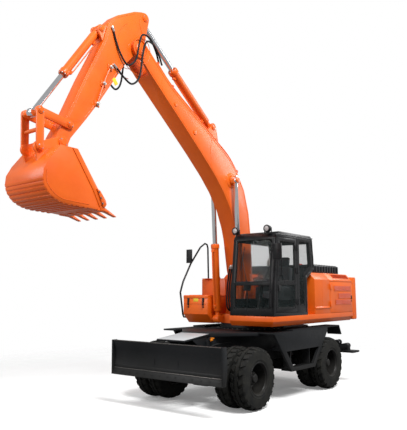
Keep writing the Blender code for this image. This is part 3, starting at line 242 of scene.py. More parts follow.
ORANGE, ORANGE_DEEP = (0.83, 0.135, 0.006), (0.72, 0.100, 0.004)
MATERIALS = {
    "orange_paint": paint("orange_paint_finish", ORANGE, ORANGE_DEEP, (0.34, 0.46), peel=0.03,
                          coat=0.15, shine=0.35),
    "dark_paint": paint("dark_paint_finish", (0.011, 0.012, 0.014), (0.005, 0.006, 0.007),
                        (0.40, 0.56), (0.0, 1.0, (0.034, 0.031, 0.024)), shine=0.22),
    "cab_paint": paint("cab_paint_finish", (0.008, 0.008, 0.009), (0.004, 0.004, 0.005),
                       (0.24, 0.36), coat=0.05, shine=0.25),
    "tyre_rubber": rubber("tyre_rubber_finish", (0.009, 0.0095, 0.0095), (0.026, 0.025, 0.021),
                          180.0, 0.35),
    "hose_rubber": rubber("hose_rubber_finish", (0.012, 0.012, 0.013), (0.03, 0.03, 0.03),
                          400.0, 0.2),
    "seal_rubber": rubber("seal_rubber_finish", (0.010, 0.010, 0.010), (0.022, 0.022, 0.022),
                          300.0, 0.15),
    "rim_paint": paint("rim_paint_finish", (0.012, 0.012, 0.013), (0.006, 0.006, 0.007),
                       (0.36, 0.55), (0.0, 1.0, (0.034, 0.031, 0.024)), shine=0.25),
    "chrome_rod": metal("chrome_rod_finish", (0.86, 0.87, 0.89), (0.74, 0.75, 0.78), (0.05, 0.12),
                        (1, 1, 8), 30.0),
    "fitting_steel": metal("fitting_steel_finish", (0.72, 0.72, 0.71), (0.50, 0.49, 0.47),
                           (0.25, 0.45)),
    "worn_steel": metal("worn_steel_finish", (0.36, 0.34, 0.32), (0.16, 0.14, 0.13), (0.35, 0.6)),
    "cast_iron": metal("cast_iron_finish", (0.12, 0.12, 0.12), (0.06, 0.06, 0.06), (0.6, 0.8)),
    "grey_plate": paint("grey_plate_finish", (0.50, 0.51, 0.52), (0.40, 0.41, 0.42), (0.35, 0.5)),
    "trim_plastic": plastic("trim_plastic_finish", (0.012, 0.012, 0.013), (0.006, 0.006, 0.007), 0.45),
    "hood_plastic": plastic("hood_plastic_finish", (0.014, 0.015, 0.018), (0.007, 0.008, 0.010), 0.22),
    "console_plastic": plastic("console_plastic_finish", (0.045, 0.047, 0.050), (0.025, 0.026, 0.028),
                               0.6),
    "seat_fabric": fabric("seat_fabric_finish", (0.075, 0.077, 0.085), (0.022, 0.022, 0.026)),
    "glass": glass_of("glass_finish", (0.020, 0.030, 0.030), 0.16),
    "mirror_glass": metal("mirror_glass_finish", (0.80, 0.82, 0.84), (0.72, 0.74, 0.76),
                          (0.02, 0.05)),
    "lamp_lens": plastic("lamp_lens_finish", (0.52, 0.49, 0.48), (0.36, 0.32, 0.32), 0.15),
    "red_lens": plastic("red_lens_finish", (0.62, 0.02, 0.015), (0.42, 0.01, 0.01), 0.15),
    "amber_lens": plastic("amber_lens_finish", (0.85, 0.28, 0.02), (0.62, 0.17, 0.01), 0.15),
    "yellow_label": plastic("yellow_label_finish", (0.90, 0.62, 0.05), (0.80, 0.52, 0.03), 0.4),
    "pale_label": plastic("pale_label_finish", (0.80, 0.66, 0.42), (0.70, 0.56, 0.34), 0.4),
    # deep_orange is a darker copy of the orange paint, a painted shade: it colours the louvre slats, the
    # counterweight's groove lines and the boom's pipe clamps.
    "deep_orange": paint("shaded_orange_finish", (0.70, 0.085, 0.012), (0.58, 0.06, 0.01),
                         (0.4, 0.55)),
}
SLOT_OF_NODE = {item["node"]: item["material_slot"] for item in frame["record"]["subparts"]}
REPAINTED = {"engine_hood": "hood_plastic"}


# ---- shapes -----------------------------------------------------------------------------
SHARP_ANGLE = radians(33)   # edges sharper than this stay sharp in the shading
BEVEL_ANGLE = radians(38)   # edges sharper than this are rounded
WELD_GAP = 0.00005


def smooth_group():
    """A Geometry Nodes group that shades faces smooth and keeps edges above an angle sharp."""
    group = bpy.data.node_groups.new("smooth_by_angle", "GeometryNodeTree")
    group.interface.new_socket("Geometry", in_out="INPUT", socket_type="NodeSocketGeometry")
    group.interface.new_socket("Geometry", in_out="OUTPUT", socket_type="NodeSocketGeometry")
    nodes, links = group.nodes, group.links
    start, end = nodes.new("NodeGroupInput"), nodes.new("NodeGroupOutput")
    faces, edges = nodes.new("GeometryNodeSetShadeSmooth"), nodes.new("GeometryNodeSetShadeSmooth")
    faces.domain, edges.domain = "FACE", "EDGE"
    edges.inputs["Shade Smooth"].default_value = False
    angle, sharp = nodes.new("GeometryNodeInputMeshEdgeAngle"), nodes.new("FunctionNodeCompare")
    sharp.operation = "GREATER_THAN"
    sharp.inputs["B"].default_value = SHARP_ANGLE
    links.new(start.outputs[0], faces.inputs["Geometry"])
    links.new(faces.outputs[0], edges.inputs["Geometry"])
    links.new(angle.outputs["Unsigned Angle"], sharp.inputs["A"])
    links.new(sharp.outputs["Result"], edges.inputs["Selection"])
    links.new(edges.outputs[0], end.inputs[0])
    return group


SMOOTH = smooth_group()


def soften(piece, width):
    """Rounds the edges of a piece and smooths its round faces."""
    weld = piece.modifiers.new("Weld", "WELD")
    weld.merge_threshold = WELD_GAP
    if width:
        bevel = piece.modifiers.new("Bevel", "BEVEL")
        bevel.width = width
        bevel.segments = 2
        bevel.limit_method = "ANGLE"
        bevel.angle_limit = BEVEL_ANGLE
    smooth = piece.modifiers.new("Smooth", "NODES")
    smooth.node_group = SMOOTH


def add_block(shape, low, high, turn=None, taper=1.0):
    """A box in a shared mesh; turn is a matrix about its centre, taper scales its top face."""
    low, high = Vector(low), Vector(high)
    made = bmesh.ops.create_cube(shape, size=1)["verts"]
    for vertex in made:
        if vertex.co.z > 0:
            vertex.co.x *= taper
            vertex.co.y *= taper
    size = Matrix.Diagonal([*(high - low), 1])
    placed = Matrix.Translation((low + high) / 2) @ (turn or Matrix.Identity(4)) @ size
    bmesh.ops.transform(shape, matrix=placed, verts=made)
    return made


def add_bar(shape, start, end, radius, sides=20, end_radius=None):
    start, end = Vector(start), Vector(end)
    run = end - start
    made = bmesh.ops.create_cone(shape, cap_ends=True, segments=sides, radius1=radius,
                                 radius2=radius if end_radius is None else end_radius,
                                 depth=run.length)["verts"]
    turn = run.to_track_quat("Z", "Y").to_matrix().to_4x4()
    bmesh.ops.transform(shape, matrix=Matrix.Translation((start + end) / 2) @ turn, verts=made)
    return made


def add_bolt(shape, place, axis, radius=0.012, height=0.01):
    """A hexagon head on a washer."""
    place, axis = Vector(place), Vector(axis).normalized()
    add_bar(shape, place, place + axis * height * 0.25, radius * 1.5, 16)
    add_bar(shape, place + axis * height * 0.2, place + axis * height, radius, 6, radius * 0.93)


def add_plate(shape, outline, plane, low, high):
    """A flat outline made solid between two values along the plane's normal."""
    order = {"side": lambda u, v, w: (u, w, v), "cross": lambda u, v, w: (w, u, v),
             "plan": lambda u, v, w: (u, v, w)}[plane]
    rows = [[shape.verts.new(order(u, v, w)) for u, v in outline] for w in (low, high)]
    count = len(outline)
    for i in range(count):
        j = (i + 1) % count
        shape.faces.new((rows[0][i], rows[0][j], rows[1][j], rows[1][i]))
    shape.faces.new(rows[0][::-1])
    shape.faces.new(rows[1])


def piece_of(shape, name, look):
    """Turns a shared mesh, which it uses up, into an object with its finish and slot."""
    bmesh.ops.recalc_face_normals(shape, faces=shape.faces)
    mesh = bpy.data.meshes.new(name)
    shape.to_mesh(mesh)
    shape.free()
    mesh.materials.append(MATERIALS[look])
    piece = bpy.data.objects.new(name, mesh)
    bpy.context.scene.collection.objects.link(piece)
    return piece


def finished(shape, name, look, body, width=0.002):
    """Turns a shared mesh into a piece with rounded edges, riding on a body."""
    piece = piece_of(shape, name, look)
    soften(piece, width)
    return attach(piece, body)


def hose_of(shape, name):
    """A hose with smooth faces, not yet riding on anything."""
    for face in shape.faces:
        face.smooth = True
    return piece_of(shape, name, "hose_rubber")


def smooth_path(points, steps=8):
    """Points along a smooth curve through the given ones."""
    points = [Vector(p) for p in points]
    ends = [points[0] * 2 - points[1]] + points + [points[-1] * 2 - points[-2]]
    found = []
    for a, b, c, d in zip(ends, ends[1:], ends[2:], ends[3:]):
        for i in range(steps):
            t = i / steps
            found.append(0.5 * ((2 * b) + (c - a) * t + (2 * a - 5 * b + 4 * c - d) * t * t
                                + (3 * b - a - 3 * c + d) * t ** 3))
    return found + [points[-1]]


def add_tube(shape, points, radius, sides=12, closed=False):
    """A swept tube with flat caps along points that are close together."""
    points = [Vector(p) for p in points]
    rings, up = [], None
    for i, point in enumerate(points):
        back = points[i - 1] if i or closed else points[i]
        ahead = points[(i + 1) % len(points)] if i + 1 < len(points) or closed else points[i]
        heading = (ahead - back).normalized()
        if up is None:
            up = heading.orthogonal().normalized()
        up = (up - heading * up.dot(heading)).normalized()
        across = heading.cross(up)
        rings.append([shape.verts.new(point + (up * cos(tau * k / sides)
                                               + across * sin(tau * k / sides)) * radius)
                      for k in range(sides)])
    pairs = list(zip(rings, rings[1:])) + ([(rings[-1], rings[0])] if closed else [])
    for first, second in pairs:
        for k in range(sides):
            m = (k + 1) % sides
            shape.faces.new((first[k], first[m], second[m], second[k]))
    if not closed:
        shape.faces.new(rings[0][::-1])
        shape.faces.new(rings[-1])


def add_turned(shape, profile, centre, axis, steps=64):
    """A closed profile of (radius, distance along the axis) turned about it."""
    axis = Vector(axis).normalized()
    one = axis.orthogonal().normalized()
    two = axis.cross(one)
    centre = Vector(centre)
    rings = []
    for radius, out in profile:
        if radius < 1e-6:
            rings.append([shape.verts.new(centre + axis * out)] * steps)
            continue
        rings.append([shape.verts.new(centre + axis * out + (one * cos(tau * k / steps)
                                      + two * sin(tau * k / steps)) * radius)
                      for k in range(steps)])
    closed = profile[0][0] > 1e-6
    pairs = list(zip(rings, rings[1:])) + ([(rings[-1], rings[0])] if closed else [])
    for first, second in pairs:
        for k in range(steps):
            m = (k + 1) % steps
            corners = []
            for corner in (first[k], first[m], second[m], second[k]):
                if corner not in corners:
                    corners.append(corner)
            shape.faces.new(corners)


def arc(centre, radius, start, end, count):
    angles = [radians(start + (end - start) * i / (count - 1)) for i in range(count)]
    return [(centre[0] + radius * cos(a), centre[1] + radius * sin(a)) for a in angles]


def rounded_loop(corners, radius, steps=4):
    """A closed loop of 3-D points whose corners are rounded."""
    corners = [Vector(c) for c in corners]
    found = []
    for i, corner in enumerate(corners):
        back = (corners[i - 1] - corner)
        ahead = (corners[(i + 1) % len(corners)] - corner)
        start = corner + back.normalized() * min(radius, back.length / 2.1)
        end = corner + ahead.normalized() * min(radius, ahead.length / 2.1)
        for k in range(steps + 1):
            t = k / steps
            found.append(start * (1 - t) ** 2 + corner * 2 * t * (1 - t) + end * t * t)
    return found


# ---- the CAD nodes' finishes ------------------------------------------------------------
EDGE_WIDTH = {"boom": 0.006, "arm": 0.006, "counterweight": 0.012, "house_frame": 0.006,
              "cab_body": 0.012, "cab_door": 0.006, "blade": 0.005, "chassis_frame": 0.005,
              "bucket": 0.004, "fuel_tank": 0.012, "hydraulic_tank": 0.008, "engine_hood": 0.012,
              "left_body_cover": 0.008, "windscreen": 0.0, "toolbox": 0.006, "toolbox_lid": 0.006,
              "engine_block": 0.02}


def dress_nodes():
    for name, node in NODES.items():
        look = REPAINTED.get(name, SLOT_OF_NODE[name])
        node.data.materials.clear()
        node.data.materials.append(MATERIALS[look])
        soften(node, EDGE_WIDTH.get(name, 0.004))


# ---- wheels -----------------------------------------------------------------------------
RIM_R = 0.27
TWIN_HALF_GAP = 0.03
TYRE_W = 0.275
CARCASS_R = TYRE_R - 0.032
TREAD_PITCHES = 22


def tyre_shape(shape, centre, side, inner):
    """One tyre with its moulded sidewall; inner is the distance of its inner face outward."""
    flank = [(RIM_R, 0.93), (RIM_R + 0.02, 0.965), (0.315, 0.985), (0.318, 0.998), (0.332, 0.998),
             (0.335, 0.99), (0.38, 1.0), (0.42, 0.998), (0.455, 0.985), (0.458, 0.992),
             (0.472, 0.985), (0.475, 0.965), (0.492, 0.925), (CARCASS_R, 0.80), (CARCASS_R + 0.003, 0.5),
             (CARCASS_R, 0.20), (0.492, 0.075), (0.475, 0.035), (0.472, 0.015), (0.458, 0.008),
             (0.455, 0.015), (0.42, 0.002), (0.38, 0.0), (0.335, 0.01), (0.332, 0.002),
             (0.318, 0.002), (0.315, 0.015), (RIM_R + 0.02, 0.035), (RIM_R, 0.07)]
    profile = [(radius, inner + TYRE_W * share) for radius, share in flank]
    add_turned(shape, profile, centre, (0, side, 0), 96)
    add_lugs(shape, centre, side, inner)


def add_lugs(shape, centre, side, inner):
    """Slanted shoulder blocks on both sides and two staggered rows of centre blocks."""
    pitch = tau / TREAD_PITCHES
    # Each block: corners as (share of the pitch, share of the width).
    shoulder = [(0.04, 0.985), (0.62, 0.985), (0.90, 0.70), (0.28, 0.66)]
    centre_block = [(0.20, 0.63), (0.86, 0.60), (0.98, 0.45), (0.66, 0.385), (0.10, 0.45)]
    rows = [(shoulder, 0.0, False), (centre_block, 0.0, False),
            (shoulder, 0.5, True), (centre_block, 0.5, True)]
    for index in range(TREAD_PITCHES):
        for outline, offset, mirror in rows:
            ring_low, ring_high = [], []
            middle = (sum(a for a, w in outline) / len(outline),
                      sum(w for a, w in outline) / len(outline))
            for along, across in outline:
                for ring, spread, lift in ((ring_low, 1.0, 0), (ring_high, 0.90, 1)):
                    a = middle[0] + (along - middle[0]) * spread
                    w = middle[1] + (across - middle[1]) * spread
                    radius = crown(w) if lift else min(crown(w) - 0.03, CARCASS_R - 0.004)
                    w = 1 - w if mirror else w
                    angle = (index + offset + a) * pitch
                    ring.append(shape.verts.new(
                        (centre[0] + radius * sin(angle), centre[1] + side * (inner + TYRE_W * w),
                         centre[2] + radius * cos(angle))))
            count = len(outline)
            for i in range(count):
                j = (i + 1) % count
                shape.faces.new((ring_low[i], ring_low[j], ring_high[j], ring_high[i]))
            shape.faces.new(ring_low[::-1])
            shape.faces.new(ring_high)


def crown(share):
    """The tread's outer radius at a share of the width, round at the shoulders."""
    edge = max(0.0, abs(share - 0.5) - 0.33) / 0.155
    return TYRE_R - 0.0005 - 0.030 * edge * edge


def build_wheels():
    for corner in ("front_left", "front_right", "rear_left", "rear_right"):
        centre = JOINTS[f"spin_{corner}"]
        side = 1 if centre.y > 0 else -1
        body = f"wheel_{corner}"
        shape = bmesh.new()
        for inner in (TWIN_HALF_GAP, -TWIN_HALF_GAP - TYRE_W):
            tyre_shape(shape, centre, side, inner)
        tyres = finished(shape, f"twin_tyres_{corner}", "tyre_rubber", body, 0)
        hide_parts(f"tyres_{corner}")
        build_rim(corner, centre, side, body)


def build_rim(corner, centre, side, body):
    shape = bmesh.new()
    reach = TWIN_HALF_GAP + TYRE_W - 0.004
    band = RIM_R - 0.018
    profile = [(0.15, 0.020), (0.165, 0.005), (band - 0.02, 0.005), (band, 0.03), (band, reach - 0.045),
               (band + 0.010, reach - 0.03), (band + 0.012, reach - 0.006), (RIM_R + 0.012, reach),
               (RIM_R + 0.016, reach - 0.006), (RIM_R - 0.001, reach - 0.012),
               (RIM_R - 0.001, -reach), (band, -reach), (band, -0.012), (0.15, -0.012)]
    add_turned(shape, profile, centre, (0, side, 0), 72)
    rim = finished(shape, f"deep_rim_{corner}", "rim_paint", body, 0.002)
    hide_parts(f"wheel_rim_{corner}")
    shape = bmesh.new()
    hub = [(0, 0.228), (0.060, 0.228), (0.070, 0.220), (0.075, 0.190), (0.105, 0.182),
           (0.118, 0.165), (0.130, 0.06), (0.150, 0.045), (0.158, 0.02), (0.158, 0.0), (0, 0.0)]
    add_turned(shape, hub, centre, (0, side, 0), 48)
    out = Vector((0, side, 0))
    for k in range(8):
        a = tau * (k + 0.5) / 8
        spot = centre + Vector((cos(a) * 0.088, 0, sin(a) * 0.088)) + out * 0.184
        add_bolt(shape, spot, out, 0.008, 0.01)
    finished(shape, f"hub_{corner}", "rim_paint", body, 0.002)
    shape = bmesh.new()
    for k in range(10):
        a = tau * k / 10
        spot = centre + Vector((cos(a) * 0.195, 0, sin(a) * 0.195)) + out * 0.005
        add_bar(shape, spot, spot + out * 0.045, 0.011, 12)
        add_bolt(shape, spot, out, 0.019, 0.026)
    valve = centre + Vector((0.205, 0, 0.12)) + out * (reach - 0.09)
    add_bar(shape, valve, valve + out * 0.07, 0.006, 10)
    finished(shape, f"wheel_nuts_{corner}", "worn_steel", body, 0.001)


# ---- cab --------------------------------------------------------------------------------
CAB_OUT_Y, CAB_IN_Y = CAB_HIGH.y, CAB_LOW.y
CAB_MIDDLE = (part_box("windscreen")[0].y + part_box("windscreen")[1].y) / 2
WINDOWS = {
    "side_right": ([(1.00, 1.85), (0.985, 2.16), (0.90, 2.98), (-0.30, 2.98), (-0.36, 2.56),
                    (-0.06, 2.36), (-0.06, 1.85)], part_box("cab_body")[0].y + 0.012, "house"),
    "quarter_left": ([(0.14, 1.74), (0.14, 3.00), (-0.28, 3.00), (-0.36, 2.52), (-0.06, 2.33),
                      (-0.06, 1.74)], HOUSE_HALF_W - 0.012, "house"),
    "door_high": ([(0.965, 2.20), (0.875, 2.96), (0.31, 2.96), (0.31, 2.20)],
                  HOUSE_HALF_W - 0.010, "cab_door"),
    "door_low": ([(0.995, 1.70), (0.972, 2.14), (0.31, 2.14), (0.31, 1.70)],
                 HOUSE_HALF_W - 0.010, "cab_door"),
}


def inset(outline, distance):
    """An outline moved inward by a distance, corner by corner."""
    found = []
    count = len(outline)
    area = sum(outline[i][0] * outline[(i + 1) % count][1] - outline[(i + 1) % count][0]
               * outline[i][1] for i in range(count))
    turn = 1 if area > 0 else -1
    for i in range(count):
        here = Vector(outline[i])
        back = (here - Vector(outline[i - 1])).normalized()
        ahead = (Vector(outline[(i + 1) % count]) - here).normalized()
        one, two = Vector((-back.y, back.x)) * turn, Vector((-ahead.y, ahead.x)) * turn
        middle = (one + two).normalized()
        found.append(tuple(here + middle * distance / max(0.4, middle.dot(one))))
    return found


def build_cab_glass():
    for name, (outline, y, body) in WINDOWS.items():
        shape = bmesh.new()
        pane = inset(outline, 0.003)
        add_plate(shape, pane, "side", y - 0.003, y + 0.003)
        finished(shape, f"pane_{name}", "glass", body, 0)
        shape = bmesh.new()
        loop = rounded_loop([(u, y, v) for u, v in inset(outline, 0.006)], 0.05)
        add_tube(shape, loop, 0.011, 8, closed=True)
        finished(shape, f"seal_{name}", "seal_rubber", body, 0)
    screen_low, screen_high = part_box("windscreen")
    shape = bmesh.new()
    low_pane = [(1.120, 1.685), (1.086, 2.127), (1.078, 2.127), (1.112, 1.685)]
    add_plate(shape, low_pane, "side", screen_low.y, screen_high.y)
    finished(shape, "pane_lower_screen", "glass", "house", 0)
    for name, corners in (("lower_screen", ((1.124, 1.685), (1.092, 2.125))),
                          ("windscreen", ((1.084, 2.185), (0.991, 2.985)))):
        (x0, z0), (x1, z1) = corners
        ys = (screen_low.y + 0.004, screen_high.y - 0.004)
        loop = rounded_loop([(x0, ys[0], z0), (x0, ys[1], z0), (x1, ys[1], z1), (x1, ys[0], z1)], 0.07)
        shape = bmesh.new()
        add_tube(shape, loop, 0.010, 8, closed=True)
        finished(shape, f"seal_{name}", "seal_rubber", "house", 0)
    shape = bmesh.new()
    rear = [(-0.433, 2.525), (-0.398, 2.975), (-0.392, 2.975), (-0.427, 2.525)]
    add_plate(shape, rear, "side", CAB_IN_Y + 0.125, CAB_OUT_Y - 0.305)
    finished(shape, "pane_rear", "glass", "house", 0)
    shape = bmesh.new()
    add_block(shape, (0.253, CAB_IN_Y + 0.163, CAB_HIGH.z - 0.016),
              (0.747, HOUSE_HALF_W - 0.163, CAB_HIGH.z - 0.010))
    finished(shape, "pane_skylight", "glass", "house", 0)


def build_cab_trim():
    """Work lights, handrails, wiper, door handle, roof ribs and the drip rail."""
    lights, lenses = bmesh.new(), bmesh.new()
    for y in (CAB_IN_Y + 0.05, HOUSE_HALF_W - 0.19):
        spot = Vector((0.995, y, CAB_HIGH.z + 0.055))
        add_bar(lights, spot - Vector((0.045, 0, 0)), spot + Vector((0.040, 0, 0)), 0.062, 28, 0.072)
        add_bar(lights, spot - Vector((0.075, 0, 0)), spot - Vector((0.045, 0, 0)), 0.040, 28, 0.062)
        add_block(lights, spot + Vector((-0.03, -0.075, -0.075)), spot + Vector((0.0, 0.075, -0.066)))
        for side in (-1, 1):
            add_block(lights, spot + Vector((-0.03, side * 0.075 - 0.003, -0.075)),
                      spot + Vector((0.0, side * 0.075 + 0.003, 0.02)))
        add_bar(lights, spot + Vector((-0.015, 0, -0.12)), spot + Vector((-0.015, 0, -0.07)), 0.010)
        add_turned(lenses, [(0, 0.046), (0.025, 0.045), (0.047, 0.041), (0.047, 0.030), (0, 0.030)],
                   spot, (1, 0, 0), 28)
    finished(lights, "work_lights", "trim_plastic", "house", 0.002)
    finished(lenses, "work_light_lenses", "lamp_lens", "house", 0)
    rails = bmesh.new()
    grab = [(1.165, HOUSE_HALF_W - 0.05, 1.72), (1.195, HOUSE_HALF_W - 0.05, 1.76),
            (1.175, HOUSE_HALF_W - 0.05, 2.10), (1.105, HOUSE_HALF_W - 0.05, 2.72),
            (1.065, HOUSE_HALF_W - 0.05, 2.76)]
    add_tube(rails, smooth_path(grab, 6), 0.014)
    edge = [(1.055, HOUSE_HALF_W - 0.02, 2.985), (1.08, HOUSE_HALF_W - 0.02, 2.90)]
    add_tube(rails, smooth_path(edge, 3), 0.010)
    finished(rails, "cab_handrail", "cab_paint", "house", 0)
    wiper = bmesh.new()
    add_bar(wiper, (1.108, 0.62, 2.20), (1.125, 0.62, 2.205), 0.018)
    add_bar(wiper, (1.120, 0.62, 2.205), (1.062, 0.50, 2.62), 0.006, 10)
    add_bar(wiper, (1.093, 0.47, 2.42), (1.026, 0.53, 2.86), 0.007, 10)
    finished(wiper, "wiper", "trim_plastic", "house", 0.0005)
    roof = bmesh.new()
    top = CAB_HIGH.z
    for k in range(5):
        y = CAB_IN_Y + 0.16 + k * 0.16
        add_block(roof, (-0.28, y, top - 0.002), (0.20, y + 0.05, top + 0.008), taper=0.92)
    loop = rounded_loop([(0.23, CAB_IN_Y + 0.14, top + 0.004), (0.77, CAB_IN_Y + 0.14, top + 0.004),
                         (0.77, HOUSE_HALF_W - 0.14, top + 0.004),
                         (0.23, HOUSE_HALF_W - 0.14, top + 0.004)], 0.06)
    add_tube(roof, loop, 0.014, 8, closed=True)
    finished(roof, "roof_ribs", "cab_paint", "house", 0.004)
    drip = bmesh.new()
    side_rail = [(1.00, HOUSE_HALF_W - 0.004, 3.035), (0.90, HOUSE_HALF_W - 0.004, 3.075),
                 (-0.33, HOUSE_HALF_W - 0.004, 3.075), (-0.405, HOUSE_HALF_W - 0.004, 3.03),
                 (-0.45, HOUSE_HALF_W - 0.004, 2.48), (-0.135, HOUSE_HALF_W - 0.004, 2.285),
                 (-0.135, HOUSE_HALF_W - 0.004, 1.60)]
    add_tube(drip, smooth_path(side_rail, 6), 0.011, 10)
    front = [(1.082, HOUSE_HALF_W - 0.012, 2.18), (1.000, HOUSE_HALF_W - 0.012, 2.99)]
    add_tube(drip, smooth_path(front, 4), 0.016, 10)
    finished(drip, "cab_edge_rails", "cab_paint", "house", 0)
    handle = bmesh.new()
    add_block(handle, (0.90, HOUSE_HALF_W - 0.004, 2.02), (0.965, HOUSE_HALF_W + 0.012, 2.12))
    add_tube(handle, smooth_path([(0.90, HOUSE_HALF_W, 2.30), (0.90, HOUSE_HALF_W + 0.04, 2.32),
                                  (0.89, HOUSE_HALF_W + 0.04, 2.60),
                                  (0.89, HOUSE_HALF_W, 2.62)], 6), 0.010, 10)
    finished(handle, "door_handle", "trim_plastic", "cab_door", 0.003)
    mirror = bmesh.new()
    add_block(mirror, (1.109, 1.238, 2.60), (1.1145, 1.382, 2.86))
    finished(mirror, "mirror_glass_left", "mirror_glass", "house", 0.002)
    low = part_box("mirror_right")[0]
    right = bmesh.new()
    add_block(right, (0.3435, low.y + 0.015, 2.66), (0.3495, low.y + 0.125, 2.92))
    finished(right, "mirror_glass_right", "mirror_glass", "house", 0.002)


def build_cab_inside():
    """The padded seat with its headrest, levers, monitor and steering wheel."""
    seat_low, seat_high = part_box("operator_seat")
    floor = seat_low.z
    middle = (seat_low.y + seat_high.y) / 2
    shell = bmesh.new()
    add_block(shell, (-0.03, middle - 0.20, floor), (0.42, middle + 0.20, floor + 0.14), taper=0.86)
    for k in range(4):
        add_block(shell, (0.02 + k * 0.004, middle - 0.17, floor + 0.15 + k * 0.028),
                  (0.38, middle + 0.17, floor + 0.168 + k * 0.028))
    seat = finished(shell, "seat_base", "console_plastic", "house", 0.006)
    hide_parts("operator_seat")
    for name, low, high, lean in (("seat_cushion", (-0.02, 1.865), (0.47, 2.005), 0),
                                  ("seat_back", (-0.10, 2.02), (0.05, 2.50), -8),
                                  ("seat_headrest", (-0.135, 2.52), (-0.055, 2.70), -8)):
        pad = bmesh.new()
        width = 0.19 if name != "seat_headrest" else 0.12
        turn = Matrix.Rotation(radians(lean), 4, "Y")
        add_block(pad, (low[0], middle - width, low[1]), (high[0], middle + width, high[1]), turn)
        bmesh.ops.subdivide_edges(pad, edges=pad.edges, cuts=5, use_grid_fill=True)
        centre = Vector(((low[0] + high[0]) / 2, middle, (low[1] + high[1]) / 2))
        for vertex in pad.verts:
            offset = vertex.co - centre
            across = abs(offset.y) / width
            if 0.42 < across < 0.60:
                offset.x *= 0.90
                offset.z *= 0.93
            vertex.co = centre + offset
        cushion = finished(pad, name, "seat_fabric", "house", 0)
        swell = cushion.modifiers.new("Round", "SUBSURF")
        swell.levels = swell.render_levels = 2
    consoles = bmesh.new()
    for side in (-1, 1):
        spans = sorted((middle + side * 0.215, middle + side * 0.325))
        add_block(consoles, (0.05, spans[0], 1.84), (0.50, spans[1], 2.10), taper=0.94)
        add_block(consoles, (0.02, spans[0] + 0.012, 2.11), (0.30, spans[1] - 0.012, 2.135))
    finished(consoles, "consoles", "console_plastic", "house", 0.012)
    levers = bmesh.new()
    for side in (-1, 1):
        y = middle + side * 0.27
        for k in range(5):
            add_bar(levers, (0.42, y, 2.095 + k * 0.014), (0.42, y, 2.107 + k * 0.014),
                    0.034 - k * 0.005, 20)
        add_bar(levers, (0.42, y, 2.15), (0.425, y, 2.24), 0.010, 12)
        add_bar(levers, (0.425, y, 2.23), (0.44, y, 2.33), 0.020, 16, 0.026)
    add_block(levers, (0.72, 0.31, 2.02), (0.755, 0.47, 2.20), Matrix.Rotation(radians(-12), 4, "Y"))
    add_bar(levers, (0.74, 0.38, 1.66), (0.74, 0.38, 2.04), 0.014, 12)
    for y in (middle - 0.10, middle + 0.10):
        add_block(levers, (0.80, y - 0.045, 1.68), (0.93, y + 0.045, 1.695),
                  Matrix.Rotation(radians(-25), 4, "Y"))
    finished(levers, "levers_and_monitor", "trim_plastic", "house", 0.003)
    wheel = bmesh.new()
    hub, axis = Vector((0.737, CAB_MIDDLE, 2.215)), Vector((-0.30, 0, 0.95)).normalized()
    one = Vector((0, 1, 0))
    two = axis.cross(one)
    add_tube(wheel, [hub + (one * cos(tau * k / 40) + two * sin(tau * k / 40)) * 0.175
                     for k in range(40)], 0.014, 10, closed=True)
    for k in range(3):
        a = tau * k / 3 + 0.5
        add_bar(wheel, hub, hub + (one * cos(a) + two * sin(a)) * 0.172, 0.010, 10)
    add_bar(wheel, hub - axis * 0.01, hub + axis * 0.015, 0.035)
    finished(wheel, "steering_wheel", "trim_plastic", "house", 0)


# ---- body -------------------------------------------------------------------------------
def add_louvres(shape, frame_shape, origin, along, up, out, length, height, count):
    """A louvred panel: slanted slats in a thin frame, on any flat face."""
    origin, along, up, out = (Vector(v) for v in (origin, along, up, out))
    pitch = height / count
    basis = Matrix((along, out, up)).transposed().to_4x4()
    tilt = Matrix.Rotation(radians(38), 4, "X")
    for k in range(count):
        made = bmesh.ops.create_cube(shape, size=1)["verts"]
        size = Matrix.Diagonal((length, 0.004, pitch * 0.95, 1))
        centre = origin + along * length / 2 + up * (k + 0.5) * pitch + out * 0.004
        bmesh.ops.transform(shape, matrix=Matrix.Translation(centre) @ basis @ tilt @ size,
                            verts=made)
    edge = 0.008
    for low, high in (((-edge, -edge), (length + edge, 0)), ((-edge, height), (length + edge, height + edge)),
                      ((-edge, 0), (0, height)), ((length, 0), (length + edge, height))):
        made = bmesh.ops.create_cube(frame_shape, size=1)["verts"]
        size = Matrix.Diagonal((high[0] - low[0], 0.007, high[1] - low[1], 1))
        centre = (origin + along * (low[0] + high[0]) / 2 + up * (low[1] + high[1]) / 2
                  + out * 0.0035)
        bmesh.ops.transform(frame_shape, matrix=Matrix.Translation(centre) @ basis @ size,
                            verts=made)


